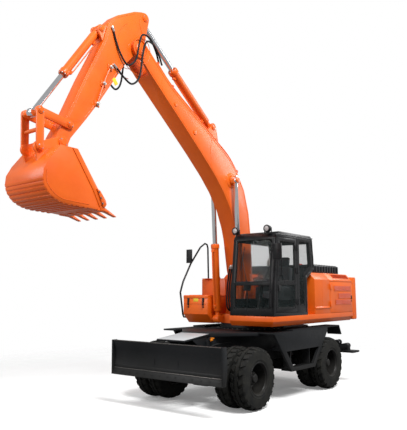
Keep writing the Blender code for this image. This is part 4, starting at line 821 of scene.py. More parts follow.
def build_body_trim():
    skin = HOUSE_HALF_W + 0.0005
    for side, label in ((1, "left"), (-1, "right")):
        slats, frames = bmesh.new(), bmesh.new()
        y = side * skin
        for low, x_rear, x_front in ((2.03, -2.27, -1.42), (1.87, -2.27, -1.62), (1.73, -2.27, -1.48)):
            add_louvres(slats, frames, (x_rear, y, low), (1, 0, 0), (0, 0, 1), (0, side, 0),
                        x_front - x_rear, 0.10, 7)
        # The slats take the darker copy of the orange paint: painted shade between the slats.
        finished(slats, f"door_louvres_{label}", "deep_orange", f"engine_door_{label}", 0)
        finished(frames, f"door_louvre_frames_{label}", "orange_paint", f"engine_door_{label}", 0.001)
        slope = Vector((0, -side * 0.14, 0.14)).normalized()
        out = Vector((0, side, 1)).normalized()
        start = Vector((-2.27, side * (HOUSE_HALF_W - 0.035), 2.295)) + out * 0.001
        slats, frames = bmesh.new(), bmesh.new()
        add_louvres(slats, frames, start, (1, 0, 0), slope, out, 0.80, 0.115, 7)
        # The slats take the darker copy of the orange paint: painted shade between the slats.
        finished(slats, f"shoulder_louvres_{label}", "deep_orange", "house", 0)
        finished(frames, f"shoulder_louvre_frames_{label}", "orange_paint", "house", 0.001)
        latch = bmesh.new()
        add_block(latch, (-2.335, min(y, y + side * 0.012), 1.84),
                  (-2.295, max(y, y + side * 0.012), 1.92))
        add_bar(latch, (-2.315, y, 1.80), (-2.315, y + side * 0.008, 1.80), 0.016)
        finished(latch, f"door_latch_{label}", "trim_plastic", f"engine_door_{label}", 0.002)
    ledges = bmesh.new()
    for side in (-1, 1):
        inner, outer = side * (skin - 0.002), side * (skin + 0.016)
        ledge = [(inner, 1.655), (outer, 1.662), (outer, 1.672), (inner, 1.70)]
        add_plate(ledges, ledge, "cross", -1.17, -0.51 if side > 0 else -0.61)
    add_block(ledges, (-0.90, -skin - 0.016, 1.56), (-0.894, -skin, 2.25))
    add_block(ledges, (-0.84, skin - 0.002, 1.56), (-0.834, skin + 0.002, 2.25))
    finished(ledges, "body_ledges", "orange_paint", "house", 0.003)
    build_hood_trim()
    build_rear_trim()
    build_tank_trim()
    build_toolbox_trim()


def build_hood_trim():
    low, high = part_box("engine_hood")
    ribs = bmesh.new()
    count = 9
    for k in range(count):
        x = low.x + 0.05 + k * (high.x - low.x - 0.16) / (count - 1)
        add_block(ribs, (x, low.y + 0.02, high.z - 0.004), (x + 0.06, high.y - 0.02, high.z + 0.014),
                  taper=0.97)
        for side in (-1, 1):
            y = high.y if side > 0 else low.y
            spans = sorted((y - side * 0.004, y + side * 0.012))
            add_block(ribs, (x, spans[0], low.z + 0.03), (x + 0.06, spans[1], high.z - 0.02))
    for k in range(7):
        y = low.y + 0.16 + k * (high.y - low.y - 0.40) / 6
        add_block(ribs, (high.x - 0.004, y, low.z + 0.03), (high.x + 0.010, y + 0.09, high.z - 0.03))
    finished(ribs, "hood_ribs", "hood_plastic", "engine_hood", 0.006)
    cap = bmesh.new()
    spot = Vector((-1.62, 0.30, high.z + 0.012))
    add_turned(cap, [(0, 0.045), (0.035, 0.045), (0.050, 0.034), (0.052, 0.0), (0, 0.0)], spot,
               (0, 0, 1), 28)
    finished(cap, "hood_cap", "red_lens", "engine_hood", 0.002)
    pipe = bmesh.new()
    add_bar(pipe, (-1.62, -0.55, high.z), (-1.62, -0.55, high.z + 0.02), 0.075)
    path = [(-1.62, -0.55, high.z), (-1.62, -0.55, high.z + 0.12), (-1.66, -0.55, high.z + 0.17),
            (-1.72, -0.55, high.z + 0.19)]
    add_tube(pipe, smooth_path(path, 6), 0.045, 20)
    finished(pipe, "exhaust_stub", "worn_steel", "engine_hood", 0.002)
    lifts = bmesh.new()
    x = low.x + 0.02
    for y in (-0.45, 0.45):
        grip = [(x, y - 0.06, high.z), (x, y - 0.06, high.z + 0.03), (x, y + 0.06, high.z + 0.03),
                (x, y + 0.06, high.z)]
        add_tube(lifts, smooth_path(grip, 6), 0.007, 10)
    finished(lifts, "hood_grips", "trim_plastic", "engine_hood", 0)


def build_rear_trim():
    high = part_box("counterweight")[1]
    groove = bmesh.new()
    for z in (1.50, 2.20):
        points = [(-2.375, 1.2185), (-2.578, 1.2185), (-2.70, 1.1385), (-2.79, 0.8585), (-2.8335, 0.45),
                  (-2.8485, 0.0)]
        points += [(x, -y) for x, y in reversed(points[:-1])]
        add_tube(groove, [(x, y, z) for x, y in points], 0.0045, 6)
    # The grooves are thin tubes in the darker copy of the orange paint: painted shade in the grooves.
    finished(groove, "counterweight_groove_shade_lines", "deep_orange", "house", 0)
    lamps, eyes, bolts = bmesh.new(), bmesh.new(), bmesh.new()
    heading = atan2(0.28, 0.09)
    for side in (-1, 1):
        turn = Matrix.Rotation(side * (pi / 2 - heading), 4, "Z")
        spot = Vector((-2.748, side * 1.0, 1.66))
        add_block(lamps, spot - Vector((0.018, 0.11, 0.05)), spot + Vector((0.018, 0.11, 0.05)), turn)
        x, y = -2.62, side * 0.62
        add_tube(eyes, [(x, y + 0.055 * cos(a), high.z + 0.055 * sin(a) + 0.01)
                        for a in [pi * k / 14 for k in range(15)]], 0.018, 12)
    finished(lamps, "rear_lamps", "red_lens", "house", 0.006)
    finished(eyes, "lifting_eyes", "orange_paint", "house", 0)
    for y in (-0.30, 0.30):
        add_bar(bolts, (-2.60, y, high.z - 0.004), (-2.60, y, high.z + 0.006), 0.055, 28)
        add_bolt(bolts, (-2.60, y, high.z + 0.005), (0, 0, 1), 0.026, 0.02)
    finished(bolts, "counterweight_bolts", "worn_steel", "house", 0.001)


def build_tank_trim():
    low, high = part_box("fuel_tank")
    trim, cap = bmesh.new(), bmesh.new()
    spot = Vector((-0.02, -0.90, high.z))
    add_turned(cap, [(0, 0.05), (0.045, 0.05), (0.055, 0.04), (0.055, 0.012), (0.07, 0.010),
                     (0.07, 0.0), (0, 0.0)], spot, (0, 0, 1), 28)
    finished(cap, "fuel_cap", "trim_plastic", "house", 0.002)
    y = low.y - 0.0005
    for x in (low.x + 0.05, high.x - 0.08):
        add_block(trim, (x, y - 0.006, low.z + 0.02), (x + 0.03, y + 0.002, high.z - 0.03))
    for x in (0.20, -0.05, -0.30, -0.55):
        add_block(trim, (x - 0.09, low.y + 0.09, high.z - 0.002), (x + 0.09, low.y + 0.27, high.z + 0.004))
    finished(trim, "tank_straps", "orange_paint", "house", 0.002)
    pads = bmesh.new()
    for k in range(7):
        for m in range(3):
            x, y = -0.52 + k * 0.085, -1.06 + m * 0.06
            add_bar(pads, (x, y, high.z + 0.003), (x, y, high.z + 0.009), 0.014, 12, 0.010)
    finished(pads, "tread_studs", "fitting_steel", "house", 0)


def build_toolbox_trim():
    low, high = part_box("toolbox")
    front = high.x + 0.0005
    latches, label, seams = bmesh.new(), bmesh.new(), bmesh.new()
    for y in (low.y + 0.14, high.y - 0.12):
        add_block(latches, (front - 0.002, y - 0.022, 1.80), (front + 0.016, y + 0.022, 1.875))
        add_block(latches, (front - 0.002, y - 0.014, 1.72), (front + 0.026, y + 0.014, 1.815))
        add_bar(latches, (front, y, 1.69), (front + 0.02, y, 1.69), 0.017)
    finished(latches, "toolbox_latches", "trim_plastic", "house", 0.003)
    add_block(label, (front - 0.001, -0.93, 1.80), (front + 0.0015, -0.80, 1.88))
    finished(label, "toolbox_label", "yellow_label", "house", 0.0005)
    add_block(seams, (front - 0.003, low.y + 0.01, 1.752), (front + 0.004, high.y - 0.01, 1.760))
    add_block(seams, (front - 0.003, low.y + 0.01, 1.545), (front + 0.003, high.y - 0.01, 1.553))
    for y in (low.y + 0.012, high.y - 0.022):
        add_block(seams, (front - 0.003, y, 1.555), (front + 0.003, y + 0.01, 1.885))
    finished(seams, "toolbox_seams", "orange_paint", "house", 0.0015)
    lid_low, lid_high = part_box("toolbox_lid")
    hem = bmesh.new()
    skirt = [(front, lid_low.z - 0.03), (front + 0.006, lid_low.z - 0.03),
             (front + 0.006, lid_high.z - 0.012), (front - 0.02, lid_high.z + 0.003),
             (front - 0.02, lid_high.z)]
    add_plate(hem, skirt, "side", lid_low.y + 0.004, lid_high.y - 0.004)
    for y in (lid_low.y + 0.10, lid_high.y - 0.16):
        add_block(hem, (lid_low.x + 0.04, y, lid_high.z - 0.002),
                  (lid_high.x - 0.06, y + 0.06, lid_high.z + 0.008), taper=0.95)
    finished(hem, "toolbox_lid_hem", "orange_paint", "toolbox_lid", 0.002)


# ---- working equipment ------------------------------------------------------------------
def at_y(point, y):
    return Vector((point[0], y, point[1]))


def add_pin_head(shape, bolts, place, side, radius):
    """A pin's cap with its keeper plate and two bolts, on a face looking along Y."""
    out = Vector((0, side, 0))
    add_turned(shape, [(0, 0.022), (radius * 0.55, 0.022), (radius * 0.62, 0.018),
                       (radius * 0.72, 0.018), (radius * 0.80, 0.012), (radius, 0.010),
                       (radius, -0.002), (0, -0.002)], place, out, 36)
    for a in (radians(35), radians(215)):
        spot = Vector(place) + Vector((cos(a), 0, sin(a))) * radius * 0.72 + out * 0.012
        add_bolt(bolts, spot, out, 0.009, 0.009)


def build_pins():
    """Pin caps at every pivot of the boom, arm and bucket."""
    eye_j, pin_k = JOINTS["bucket_link_tilt"], BUCKET_PIN + Vector((0.41, 0, -0.16))
    rows = (("boom_foot", BOOM_FOOT, 0.218, 0.10, "house"),
            ("boom_tip", ARM_PIN, 0.181, 0.105, "boom"),
            ("boom_cylinder_foot", JOINTS["boom_cylinder_tilt"], 0.365, 0.06, "house"),
            ("boom_cylinder_eye", JOINTS["boom_cylinder_tilt"] + Vector((0.15, 0, 2.82)), 0.342,
             0.062, "boom_cylinder_rods"),
            ("arm_cylinder_foot", JOINTS["arm_cylinder_tilt"], 0.103, 0.055, "boom"),
            ("arm_tail", Vector((3.30, GEAR_Y, 6.80)), 0.132, 0.06, "arm"),
            ("bucket_cylinder_foot", JOINTS["bucket_cylinder_tilt"], 0.098, 0.05, "arm"),
            ("rocker_pin", JOINTS["bucket_rocker_tilt"], 0.167, 0.048, "bucket_rocker"),
            ("rocker_eye", eye_j, 0.198, 0.05, "bucket_link"),
            ("link_eye", pin_k, 0.198, 0.046, "bucket_link"),
            ("bucket_pin", BUCKET_PIN, 0.168, 0.08, "bucket"))
    for name, place, offset, radius, body in rows:
        caps, bolts = bmesh.new(), bmesh.new()
        for side in (-1, 1):
            add_pin_head(caps, bolts, Vector((place.x, GEAR_Y + side * offset, place.z)), side, radius)
        finished(caps, f"pin_caps_{name}", "orange_paint", body, 0)
        finished(bolts, f"pin_bolts_{name}", "fitting_steel", body, 0)


BOOM_BACK = [(0.06, 3.20), (0.12, 3.65), (0.285, 4.13), (0.54, 4.48), (0.83, 4.75), (1.26, 4.99),
             (1.92, 5.35), (2.60, 5.72), (3.01, 6.03), (3.30, 6.27)]
BOOM_FRONT = [(0.43, 2.45), (0.47, 2.66), (0.54, 3.07), (0.62, 3.33), (0.79, 3.69), (1.04, 4.02),
              (1.33, 4.31), (1.77, 4.68), (2.25, 5.06), (3.21, 5.81)]


def offset_run(points, distance):
    """A run of (x, z) points moved sideways, to the left of its heading."""
    found = []
    for i, point in enumerate(points):
        back = Vector(points[max(i - 1, 0)])
        ahead = Vector(points[min(i + 1, len(points) - 1)])
        heading = (ahead - back).normalized()
        found.append(tuple(Vector(point) + Vector((-heading.y, heading.x)) * distance))
    return found


FOOT_HOSES = (-0.075, -0.025, 0.025, 0.075)   # distances of the boom foot's hoses from its middle


def build_boom_trim():
    half = BOOM_HALF_W
    seams = bmesh.new()
    for side in (-1, 1):
        for run, shift in ((BOOM_BACK, -0.035), (BOOM_FRONT, 0.035)):
            line = offset_run(run, shift)
            add_tube(seams, smooth_path([at_y(p, GEAR_Y + side * half) for p in line], 3), 0.006, 6)
        for x, z0, z1 in ((1.42, 4.42, 5.04), (2.86, 5.56, 5.90)):
            bowed = ((x, z0), (x + 0.04, (z0 + z1) / 2), (x, z1))
            add_tube(seams, [at_y(p, GEAR_Y + side * half) for p in bowed], 0.005, 6)
        patch = arc((ARM_PIN.x, ARM_PIN.z), 0.26, 120, 292, 14)
        add_tube(seams, [at_y(p, GEAR_Y + side * half) for p in patch], 0.005, 6)
    finished(seams, "boom_weld_seams", "orange_paint", "boom", 0)
    bosses = bmesh.new()
    for side in (-1, 1):
        y = GEAR_Y + side * half
        for x, z, radius in ((1.95, 5.02, 0.045), (2.52, 5.42, 0.035)):
            add_bar(bosses, (x, y, z), (x, y + side * 0.014, z), radius, 28)
        ring = [(0.155, -0.002), (0.155, 0.018), (0.17, 0.018), (0.17, -0.002)]
        place = at_y((0.76, 4.27), y)
        add_turned(bosses, [(0.105, 0.0), (0.105, 0.03), (0.16, 0.008), (0.16, -0.004)], place,
                   (0, side, 0), 40)
        add_turned(bosses, ring, (ARM_PIN.x, y, ARM_PIN.z), (0, side, 0), 40)
    finished(bosses, "boom_bosses", "orange_paint", "boom", 0.002)
    pipes, clamps = bmesh.new(), bmesh.new()
    top = offset_run(BOOM_BACK[3:], 0.045)
    for offset in (-0.145, -0.105, 0.105, 0.145):
        path = smooth_path([at_y(p, GEAR_Y + offset) for p in top[:-1]], 5)
        add_tube(pipes, path, 0.014, 10)
    turn = Matrix.Rotation(-atan2(0.55, 1), 4, "Y")
    for p in (top[0], top[2], top[4], top[5]):
        for offset in (-0.125, 0.125):
            spot = at_y(p, GEAR_Y + offset)
            add_block(clamps, spot - Vector((0.022, 0.042, 0.040)),
                      spot + Vector((0.022, 0.042, 0.022)), turn)
            add_bolt(clamps, spot + Vector((-0.012, 0, 0.02)), (-0.5, 0, 0.87), 0.009, 0.012)
    finished(pipes, "boom_pipes", "orange_paint", "boom", 0)
    # The clamps take the darker copy of the orange paint: painted shade on the clamps.
    finished(clamps, "boom_pipe_clamps", "deep_orange", "boom", 0.002)
    foot = bmesh.new()
    for offset in FOOT_HOSES:
        path = [(0.46, GEAR_Y + offset, 1.60), (0.56, GEAR_Y + offset * 1.1, 1.70),
                (0.58, GEAR_Y + offset, 1.95), (0.53, GEAR_Y + offset, 2.25), (0.47, GEAR_Y + offset, 2.50)]
        add_tube(foot, smooth_path(path, 8), 0.017, 12)
    hose = hose_of(foot, "boom_foot_hoses")
    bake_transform(hose)
    ends = bmesh.new()
    for offset in FOOT_HOSES:
        add_bar(ends, (0.43, GEAR_Y + offset, 2.56), (0.475, GEAR_Y + offset, 2.47), 0.022, 8)
    finished(ends, "boom_foot_hose_ends", "fitting_steel", "boom", 0.001)
    base = bmesh.new()
    for offset in FOOT_HOSES:
        add_bar(base, (0.44, GEAR_Y + offset, 1.585), (0.475, GEAR_Y + offset, 1.615), 0.022, 8)
    finished(base, "boom_foot_hose_bases", "fitting_steel", "house", 0.001)


def build_arm_trim():
    """Hoses that loop from the boom's top to the arm, the arm's pipe, label and seams."""
    for side, label in ((1, "left"), (-1, "right")):
        y = GEAR_Y + side * (BOOM_HALF_W + 0.02)
        near = GEAR_Y + side * (ARM_HALF_W + 0.022)
        loops = bmesh.new()
        upper = [(2.92, GEAR_Y + side * 0.12, 6.10), (3.06, y - side * 0.03, 6.27), (3.24, y, 6.42),
                 (3.42, y, 6.43), (3.50, y, 6.25), (3.58, y, 5.92), (3.74, near + side * 0.02, 5.78),
                 (3.90, near + side * 0.01, 5.92), (4.00, near, 6.12), (4.06, near, 6.28)]
        lower = [(2.88, GEAR_Y + side * 0.16, 6.06), (3.02, y, 6.22), (3.20, y + side * 0.02, 6.34),
                 (3.37, y + side * 0.035, 6.30), (3.45, y + side * 0.035, 6.02),
                 (3.52, y + side * 0.03, 5.62), (3.66, near + side * 0.05, 5.46),
                 (3.82, near + side * 0.03, 5.52), (3.98, near, 5.66)]
        for path in (upper, lower):
            add_tube(loops, smooth_path(path, 8), 0.0165, 12)
        hoses = hose_of(loops, f"arm_hoses_{label}")
        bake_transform(hoses)
        fittings = bmesh.new()
        face = GEAR_Y + side * ARM_HALF_W
        add_bar(fittings, (4.05, near, 6.26), (4.09, near, 6.34), 0.022, 8)
        add_bar(fittings, (3.97, near, 5.65), (4.05, near, 5.70), 0.022, 8)
        spots = ((4.10, 5.62), (4.24, 5.30), (4.36, 4.93))
        for x, z in spots:
            add_bar(fittings, (x, face, z), (x, face + side * 0.05, z), 0.032, 20)
            add_bar(fittings, (x, face + side * 0.05, z), (x, face + side * 0.062, z), 0.022, 6)
        finished(fittings, f"arm_fittings_{label}", "fitting_steel", "arm", 0.003)
        pipe = bmesh.new()
        line = [(4.05, near, 5.70), (4.10, near, 5.62), (4.18, near, 5.46), (4.24, near, 5.30),
                (4.30, near, 5.12), (4.36, near, 4.93)]
        add_tube(pipe, smooth_path(line, 5), 0.014, 10)
        for x, z in spots:
            add_block(pipe, (x - 0.05, min(face, face + side * 0.012), z - 0.05),
                      (x + 0.05, max(face, face + side * 0.012), z + 0.05))
        finished(pipe, f"arm_pipe_{label}", "orange_paint", "arm", 0.002)
        seam = bmesh.new()
        top = [(3.55, 6.79), (3.94, 6.56), (4.11, 6.35), (4.21, 6.01), (4.57, 5.28), (4.89, 4.58)]
        low = [(4.60, 4.64), (4.35, 4.98), (3.82, 5.78)]
        for line in (top, low):
            add_tube(seam, smooth_path([at_y(p, face) for p in line], 4), 0.005, 6)
        patch = arc((ARM_PIN.x, ARM_PIN.z), 0.46, -95, 55, 14)
        tail = ((3.40, 6.83), (3.44, 6.66), (3.38, 6.50), (3.25, 6.38))
        for line in (patch, tail):
            add_tube(seam, [at_y(p, face) for p in line], 0.006, 6)
        finished(seam, f"arm_weld_seams_{label}", "orange_paint", "arm", 0)
    label = bmesh.new()
    face = GEAR_Y + ARM_HALF_W
    turn = Matrix.Rotation(radians(-52), 4, "Y")
    add_block(label, (3.92, face - 0.001, 5.38), (4.04, face + 0.0015, 5.46), turn)
    finished(label, "arm_label", "yellow_label", "arm", 0.0005)


def build_cylinder_trim():
    """Gland rings, hose ports and pipes on the barrels."""
    rows = (("boom_cylinder_tilt", "boom_cylinder_barrels", (0.76, 4.27), 1.53, 0.075,
             (0.29, -0.29)),
            ("arm_cylinder_tilt", "arm_cylinder_barrel", (3.30, 6.80), 1.45, 0.08, (0,)),
            ("bucket_cylinder_tilt", "bucket_cylinder_barrel", (5.43, 4.54), 1.17, 0.066, (0,)))
    for joint, body, eye, gland, radius, offsets in rows:
        rings, ports = bmesh.new(), bmesh.new()
        for offset in offsets:
            foot = JOINTS[joint] + Vector((0, offset, 0))
            run = (Vector((eye[0], foot.y, eye[1])) - foot).normalized()
            across = Vector((0, 1, 0))
            lift = run.cross(across)
            head = foot + run * gland
            add_turned(rings, [(radius * 1.02, -0.085), (radius * 1.19, -0.082), (radius * 1.19, -0.010),
                               (radius * 1.10, -0.002), (radius * 1.10, 0.006), (radius * 0.72, 0.012),
                               (radius * 0.72, -0.05), (radius * 0.9, -0.085)], head, run, 40)
            for k in range(8):
                a = tau * k / 8
                add_bolt(ports, head + (across * cos(a) + lift * sin(a)) * radius * 0.92
                         + run * 0.007, run, 0.008, 0.011)
            for distance in (0.26, gland - 0.13):
                spot = foot + run * distance - lift * radius
                add_block(rings, spot - Vector((0.028,) * 3), spot + Vector((0.028,) * 3))
            pipe = [foot + run * 0.27 - lift * (radius + 0.03),
                    foot + run * 0.36 - lift * (radius + 0.036),
                    foot + run * (gland - 0.25) - lift * (radius + 0.036),
                    foot + run * (gland - 0.14) - lift * (radius + 0.026)]
            add_tube(rings, smooth_path(pipe, 5), 0.011, 10)
        finished(rings, f"{body}_gland", "orange_paint", body, 0.002)
        finished(ports, f"{body}_bolts", "fitting_steel", body, 0)


def build_bucket_trim():
    low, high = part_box("bucket")
    half = (high.y - low.y) / 2
    back = [(5.30, 4.07), (5.45, 3.82), (5.52, 3.65), (5.53, 3.54), (5.50, 3.42), (5.41, 3.31),
            (5.27, 3.24), (5.12, 3.21), (4.70, 3.20), (4.42, 3.185)]
    strips = bmesh.new()
    for i in range(3, 8):
        a, b = Vector(back[i]), Vector(back[i + 1])
        heading = (b - a).normalized()
        turn = Matrix.Rotation(-atan2(heading.y, heading.x), 4, "Y")
        for share in ((0.25, 0.7) if i < 7 else (0.12, 0.34, 0.58, 0.82)):
            place = at_y(a.lerp(b, share), GEAR_Y)
            reach = Vector((0.022, half - 0.004, 0.010))
            add_block(strips, place - reach, place + reach, turn)
    finished(strips, "bucket_wear_strips", "orange_paint", "bucket", 0.002)
    sides = bmesh.new()
    for side in (-1, 1):
        y = GEAR_Y + side * half
        strip = [(4.405, 3.186), (4.56, 3.492), (4.962, 4.028), (5.055, 4.028), (4.66, 3.48), (4.50, 3.19)]
        spans = sorted((y, y + side * 0.010))
        add_plate(sides, strip, "side", *spans)
        curve = [(5.47, 3.66), (5.475, 3.55), (5.45, 3.45), (5.37, 3.36), (5.26, 3.295), (5.12, 3.265),
                 (4.72, 3.25)]
        add_tube(sides, smooth_path([at_y(p, y) for p in curve], 4), 0.006, 6)
    finished(sides, "bucket_side_borders", "orange_paint", "bucket", 0.002)
    cutters, bolts = bmesh.new(), bmesh.new()
    for side in (-1, 1):
        y = GEAR_Y + side * (half + 0.010)
        spans = sorted((y, y + side * 0.018))
        cutter = [(4.47, 3.24), (4.60, 3.50), (4.535, 3.475), (4.425, 3.345), (4.405, 3.285), (4.43, 3.245)]
        add_plate(cutters, cutter, "side", *spans)
        for x, z in ((4.56, 3.45), (4.52, 3.37), (4.485, 3.29)):
            add_bolt(bolts, (x, y + side * 0.018, z), (0, side, 0), 0.011, 0.012)
    finished(cutters, "bucket_side_cutters", "orange_paint", "bucket", 0.003)
    finished(bolts, "bucket_cutter_bolts", "worn_steel", "bucket", 0)
    adapters = bmesh.new()
    for index in range(5):
        y = GEAR_Y + (index - 2) * 0.205
        shank = [(4.56, 3.182), (4.40, 3.176), (4.34, 3.168), (4.34, 3.205), (4.42, 3.24), (4.52, 3.236)]
        add_plate(adapters, shank, "side", y - 0.044, y + 0.044)
    finished(adapters, "bucket_tooth_adapters", "orange_paint", "bucket", 0.006)
    gusset = bmesh.new()
    for side in (-1, 1):
        y = GEAR_Y + side * (ARM_HALF_W + 0.018)
        add_bar(gusset, (5.41, y - 0.02, 4.01), (5.41, y + 0.02, 4.01), 0.088, 36)
    add_bar(gusset, (5.20, GEAR_Y - ARM_HALF_W, 4.07), (5.20, GEAR_Y + ARM_HALF_W, 4.07), 0.03, 24)
    finished(gusset, "bucket_ear_bosses", "orange_paint", "bucket", 0.003)


# ---- undercarriage ----------------------------------------------------------------------
def build_blade_trim():
    trim, edge, bolts = bmesh.new(), bmesh.new(), bmesh.new()
    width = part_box("blade")[1].y - 0.002
    # The top edge is a strip in the bright worn-steel finish: a painted highlight where the edge catches the
    # light.
    lip = [(2.715, 1.118), (2.768, 1.118), (2.772, 1.128), (2.715, 1.128)]
    add_plate(edge, lip, "side", -width, width)
    finished(edge, "blade_top_edge_highlight", "worn_steel", "blade", 0.001)
    cut = [(2.722, 0.522), (2.772, 0.522), (2.752, 0.575), (2.741, 0.625), (2.728, 0.638), (2.715, 0.63)]
    add_plate(trim, cut, "side", -width, width)
    add_plate(trim, [(2.726, 0.66), (2.7335, 0.66), (2.727, 0.70), (2.716, 0.70)], "side", -width, width)
    for y in (-0.95, -0.55, 0.55, 0.95):
        rib = [(2.73, 0.56), (2.66, 0.56), (2.60, 0.66), (2.60, 0.98), (2.66, 1.08), (2.72, 1.08),
               (2.675, 0.80)]
        add_plate(trim, rib, "side", y - 0.01, y + 0.01)
    finished(trim, "blade_ribs", "dark_paint", "blade", 0.002)
    # A thin strip in the bright worn-steel finish along the cutting edge's top ledge: a painted highlight.
    line = [(2.722, 0.634), (2.7285, 0.634), (2.727, 0.642), (2.718, 0.642)]
    shape = bmesh.new()
    add_plate(shape, line, "side", -width, width)
    finished(shape, "blade_cutting_edge_highlight_line", "worn_steel", "blade", 0.0005)
    for k in range(14):
        y = -1.17 + k * 0.18
        add_bolt(bolts, (2.752, y, 0.585), (0.95, 0, 0.3), 0.013, 0.006)
    finished(bolts, "blade_edge_bolts", "dark_paint", "blade", 0)


def build_chassis_trim():
    cover = bmesh.new()
    outline = [(1.885, 1.2535), (2.578, 1.1785), (2.578, 1.1745), (1.885, 1.2495)]
    add_plate(cover, outline, "side", -0.315, 0.315)
    finished(cover, "nose_cover_plate", "grey_plate", "chassis", 0.0005)
    ring, bolts = bmesh.new(), bmesh.new()
    add_turned(ring, [(0.645, 1.275), (0.672, 1.275), (0.672, 1.315), (0.645, 1.315)], (0, 0, 0),
               (0, 0, 1), 96)
    for k in range(40):
        a = tau * k / 40
        add_bolt(bolts, (0.705 * cos(a), 0.705 * sin(a), 1.26), (0, 0, 1), 0.013, 0.016)
    add_turned(ring, [(0.68, 1.259), (0.735, 1.259), (0.735, 1.268), (0.68, 1.268)], (0, 0, 0),
               (0, 0, 1), 96)
    finished(ring, "slew_ring_flange", "dark_paint", "chassis", 0.002)
    finished(bolts, "slew_ring_bolts", "worn_steel", "chassis", 0)
    drive = bmesh.new()
    start, end = Vector((1.44, 0, 0.56)), Vector((-0.86, 0, 0.56))
    add_bar(drive, start, end, 0.042, 24)
    for spot in (start, end, Vector((0.32, 0, 0.56)), Vector((0.02, 0, 0.56))):
        add_bar(drive, spot - Vector((0.05, 0, 0)), spot + Vector((0.05, 0, 0)), 0.072, 28)
    add_block(drive, (0.02, -0.16, 0.48), (0.32, 0.16, 0.63))
    finished(drive, "drive_shaft", "dark_paint", "chassis", 0.004)
    springs = bmesh.new()
    for x in (JOINTS["spin_rear_left"].x, JOINTS["spin_front_left"].x):
        for y in (-0.17, 0.17):
            for dx in (-0.12, 0.12):
                add_bar(springs, (x + dx, y, 0.40), (x + dx, y, 0.77), 0.013, 12)
                add_bolt(springs, (x + dx, y, 0.40), (0, 0, -1), 0.02, 0.02)
        add_block(springs, (x - 0.16, -0.21, 0.40), (x + 0.16, 0.21, 0.425))
    finished(springs, "axle_clamps", "dark_paint", "chassis", 0.002)
    rods = bmesh.new()
    x = JOINTS["spin_front_left"].x - 0.22
    for side in (-1, 1):
        add_bar(rods, (x, side * 0.34, TYRE_R), (x, side * 0.42, TYRE_R), 0.024, 20)
    finished(rods, "steering_cylinder_rods", "chrome_rod", "chassis", 0.001)
    tubes = bmesh.new()
    for side in (-1, 1):
        path = [(1.30, side * 0.37, 1.08), (1.80, side * 0.37, 1.05), (1.98, side * 0.34, 0.98),
                (2.08, side * 0.14, 0.99)]
        add_tube(tubes, smooth_path(path, 8), 0.014, 12)
    finished(tubes, "blade_hoses", "hose_rubber", "chassis", 0)
    lamp = bmesh.new()
    for side in (-1, 1):
        add_bar(lamp, (1.90, side * 0.40, 1.15), (1.95, side * 0.40, 1.15), 0.022, 20)
        add_block(lamp, (1.88, side * 0.40 - 0.03, 1.165), (1.92, side * 0.40 + 0.03, 1.19))
    finished(lamp, "front_markers", "amber_lens", "chassis", 0.004)


TREAD_PITCH = 0.055
DECK_Z, REAR_DECK_Z, REAR_DECK_FRONT_X = 1.26, 1.288, 0.44


def build_step_trim():
    """Pierced treads on the steps and raised studs on the decks."""
    for side, label in ((1, "left"), (-1, "right")):
        studs, treads = bmesh.new(), bmesh.new()
        y0, y1 = sorted((side * 1.00, side * 1.20))
        for x0, x1, z in ((-0.70, 0.84, 0.97), (-0.39, 0.48, 0.57)):
            count = int((x1 - x0) / TREAD_PITCH)
            for k in range(count):
                x = x0 + (k + 0.5) * (x1 - x0) / count
                add_block(treads, (x - 0.008, y0, z - 0.002), (x + 0.008, y1, z + 0.012))
        finished(treads, f"step_treads_{label}", "dark_paint", "chassis", 0.002)
        for k in range(22):
            for m in range(4):
                x, y = -1.52 + k * 0.088, side * (0.955 + m * 0.065)
                base = REAR_DECK_Z if x < REAR_DECK_FRONT_X else DECK_Z
                add_bar(studs, (x, y, base - 0.001), (x, y, base + 0.004), 0.016, 10, 0.010)
        finished(studs, f"deck_studs_{label}", "dark_paint", "chassis", 0)


# ---- floor, light and camera ------------------------------------------------------------
FLOOR_GLOW = 0.16
FLOOR_CLEAR_R = 5.5, 11.0   # the floor fades out between these distances from the slew axis
AMBIENT = 0.42


def white_seen(tree, other):
    """A shader that is white where the camera sees it, also through glass or in a sharp mirror."""
    path = tree.nodes.new("ShaderNodeLightPath")
    total = path.outputs["Is Camera Ray"]
    for name in ("Is Transmission Ray", "Is Singular Ray"):
        either = tree.nodes.new("ShaderNodeMath")
        either.operation = "MAXIMUM"
        tree.links.new(total, either.inputs[0])
        tree.links.new(path.outputs[name], either.inputs[1])
        total = either.outputs["Value"]
    seen = tree.nodes.new("ShaderNodeBackground")
    seen.inputs["Color"].default_value = (1, 1, 1, 1)
    mix = tree.nodes.new("ShaderNodeMixShader")
    tree.links.new(total, mix.inputs["Fac"])
    tree.links.new(other, mix.inputs[1])
    tree.links.new(seen.outputs[0], mix.inputs[2])
    return mix.outputs[0]


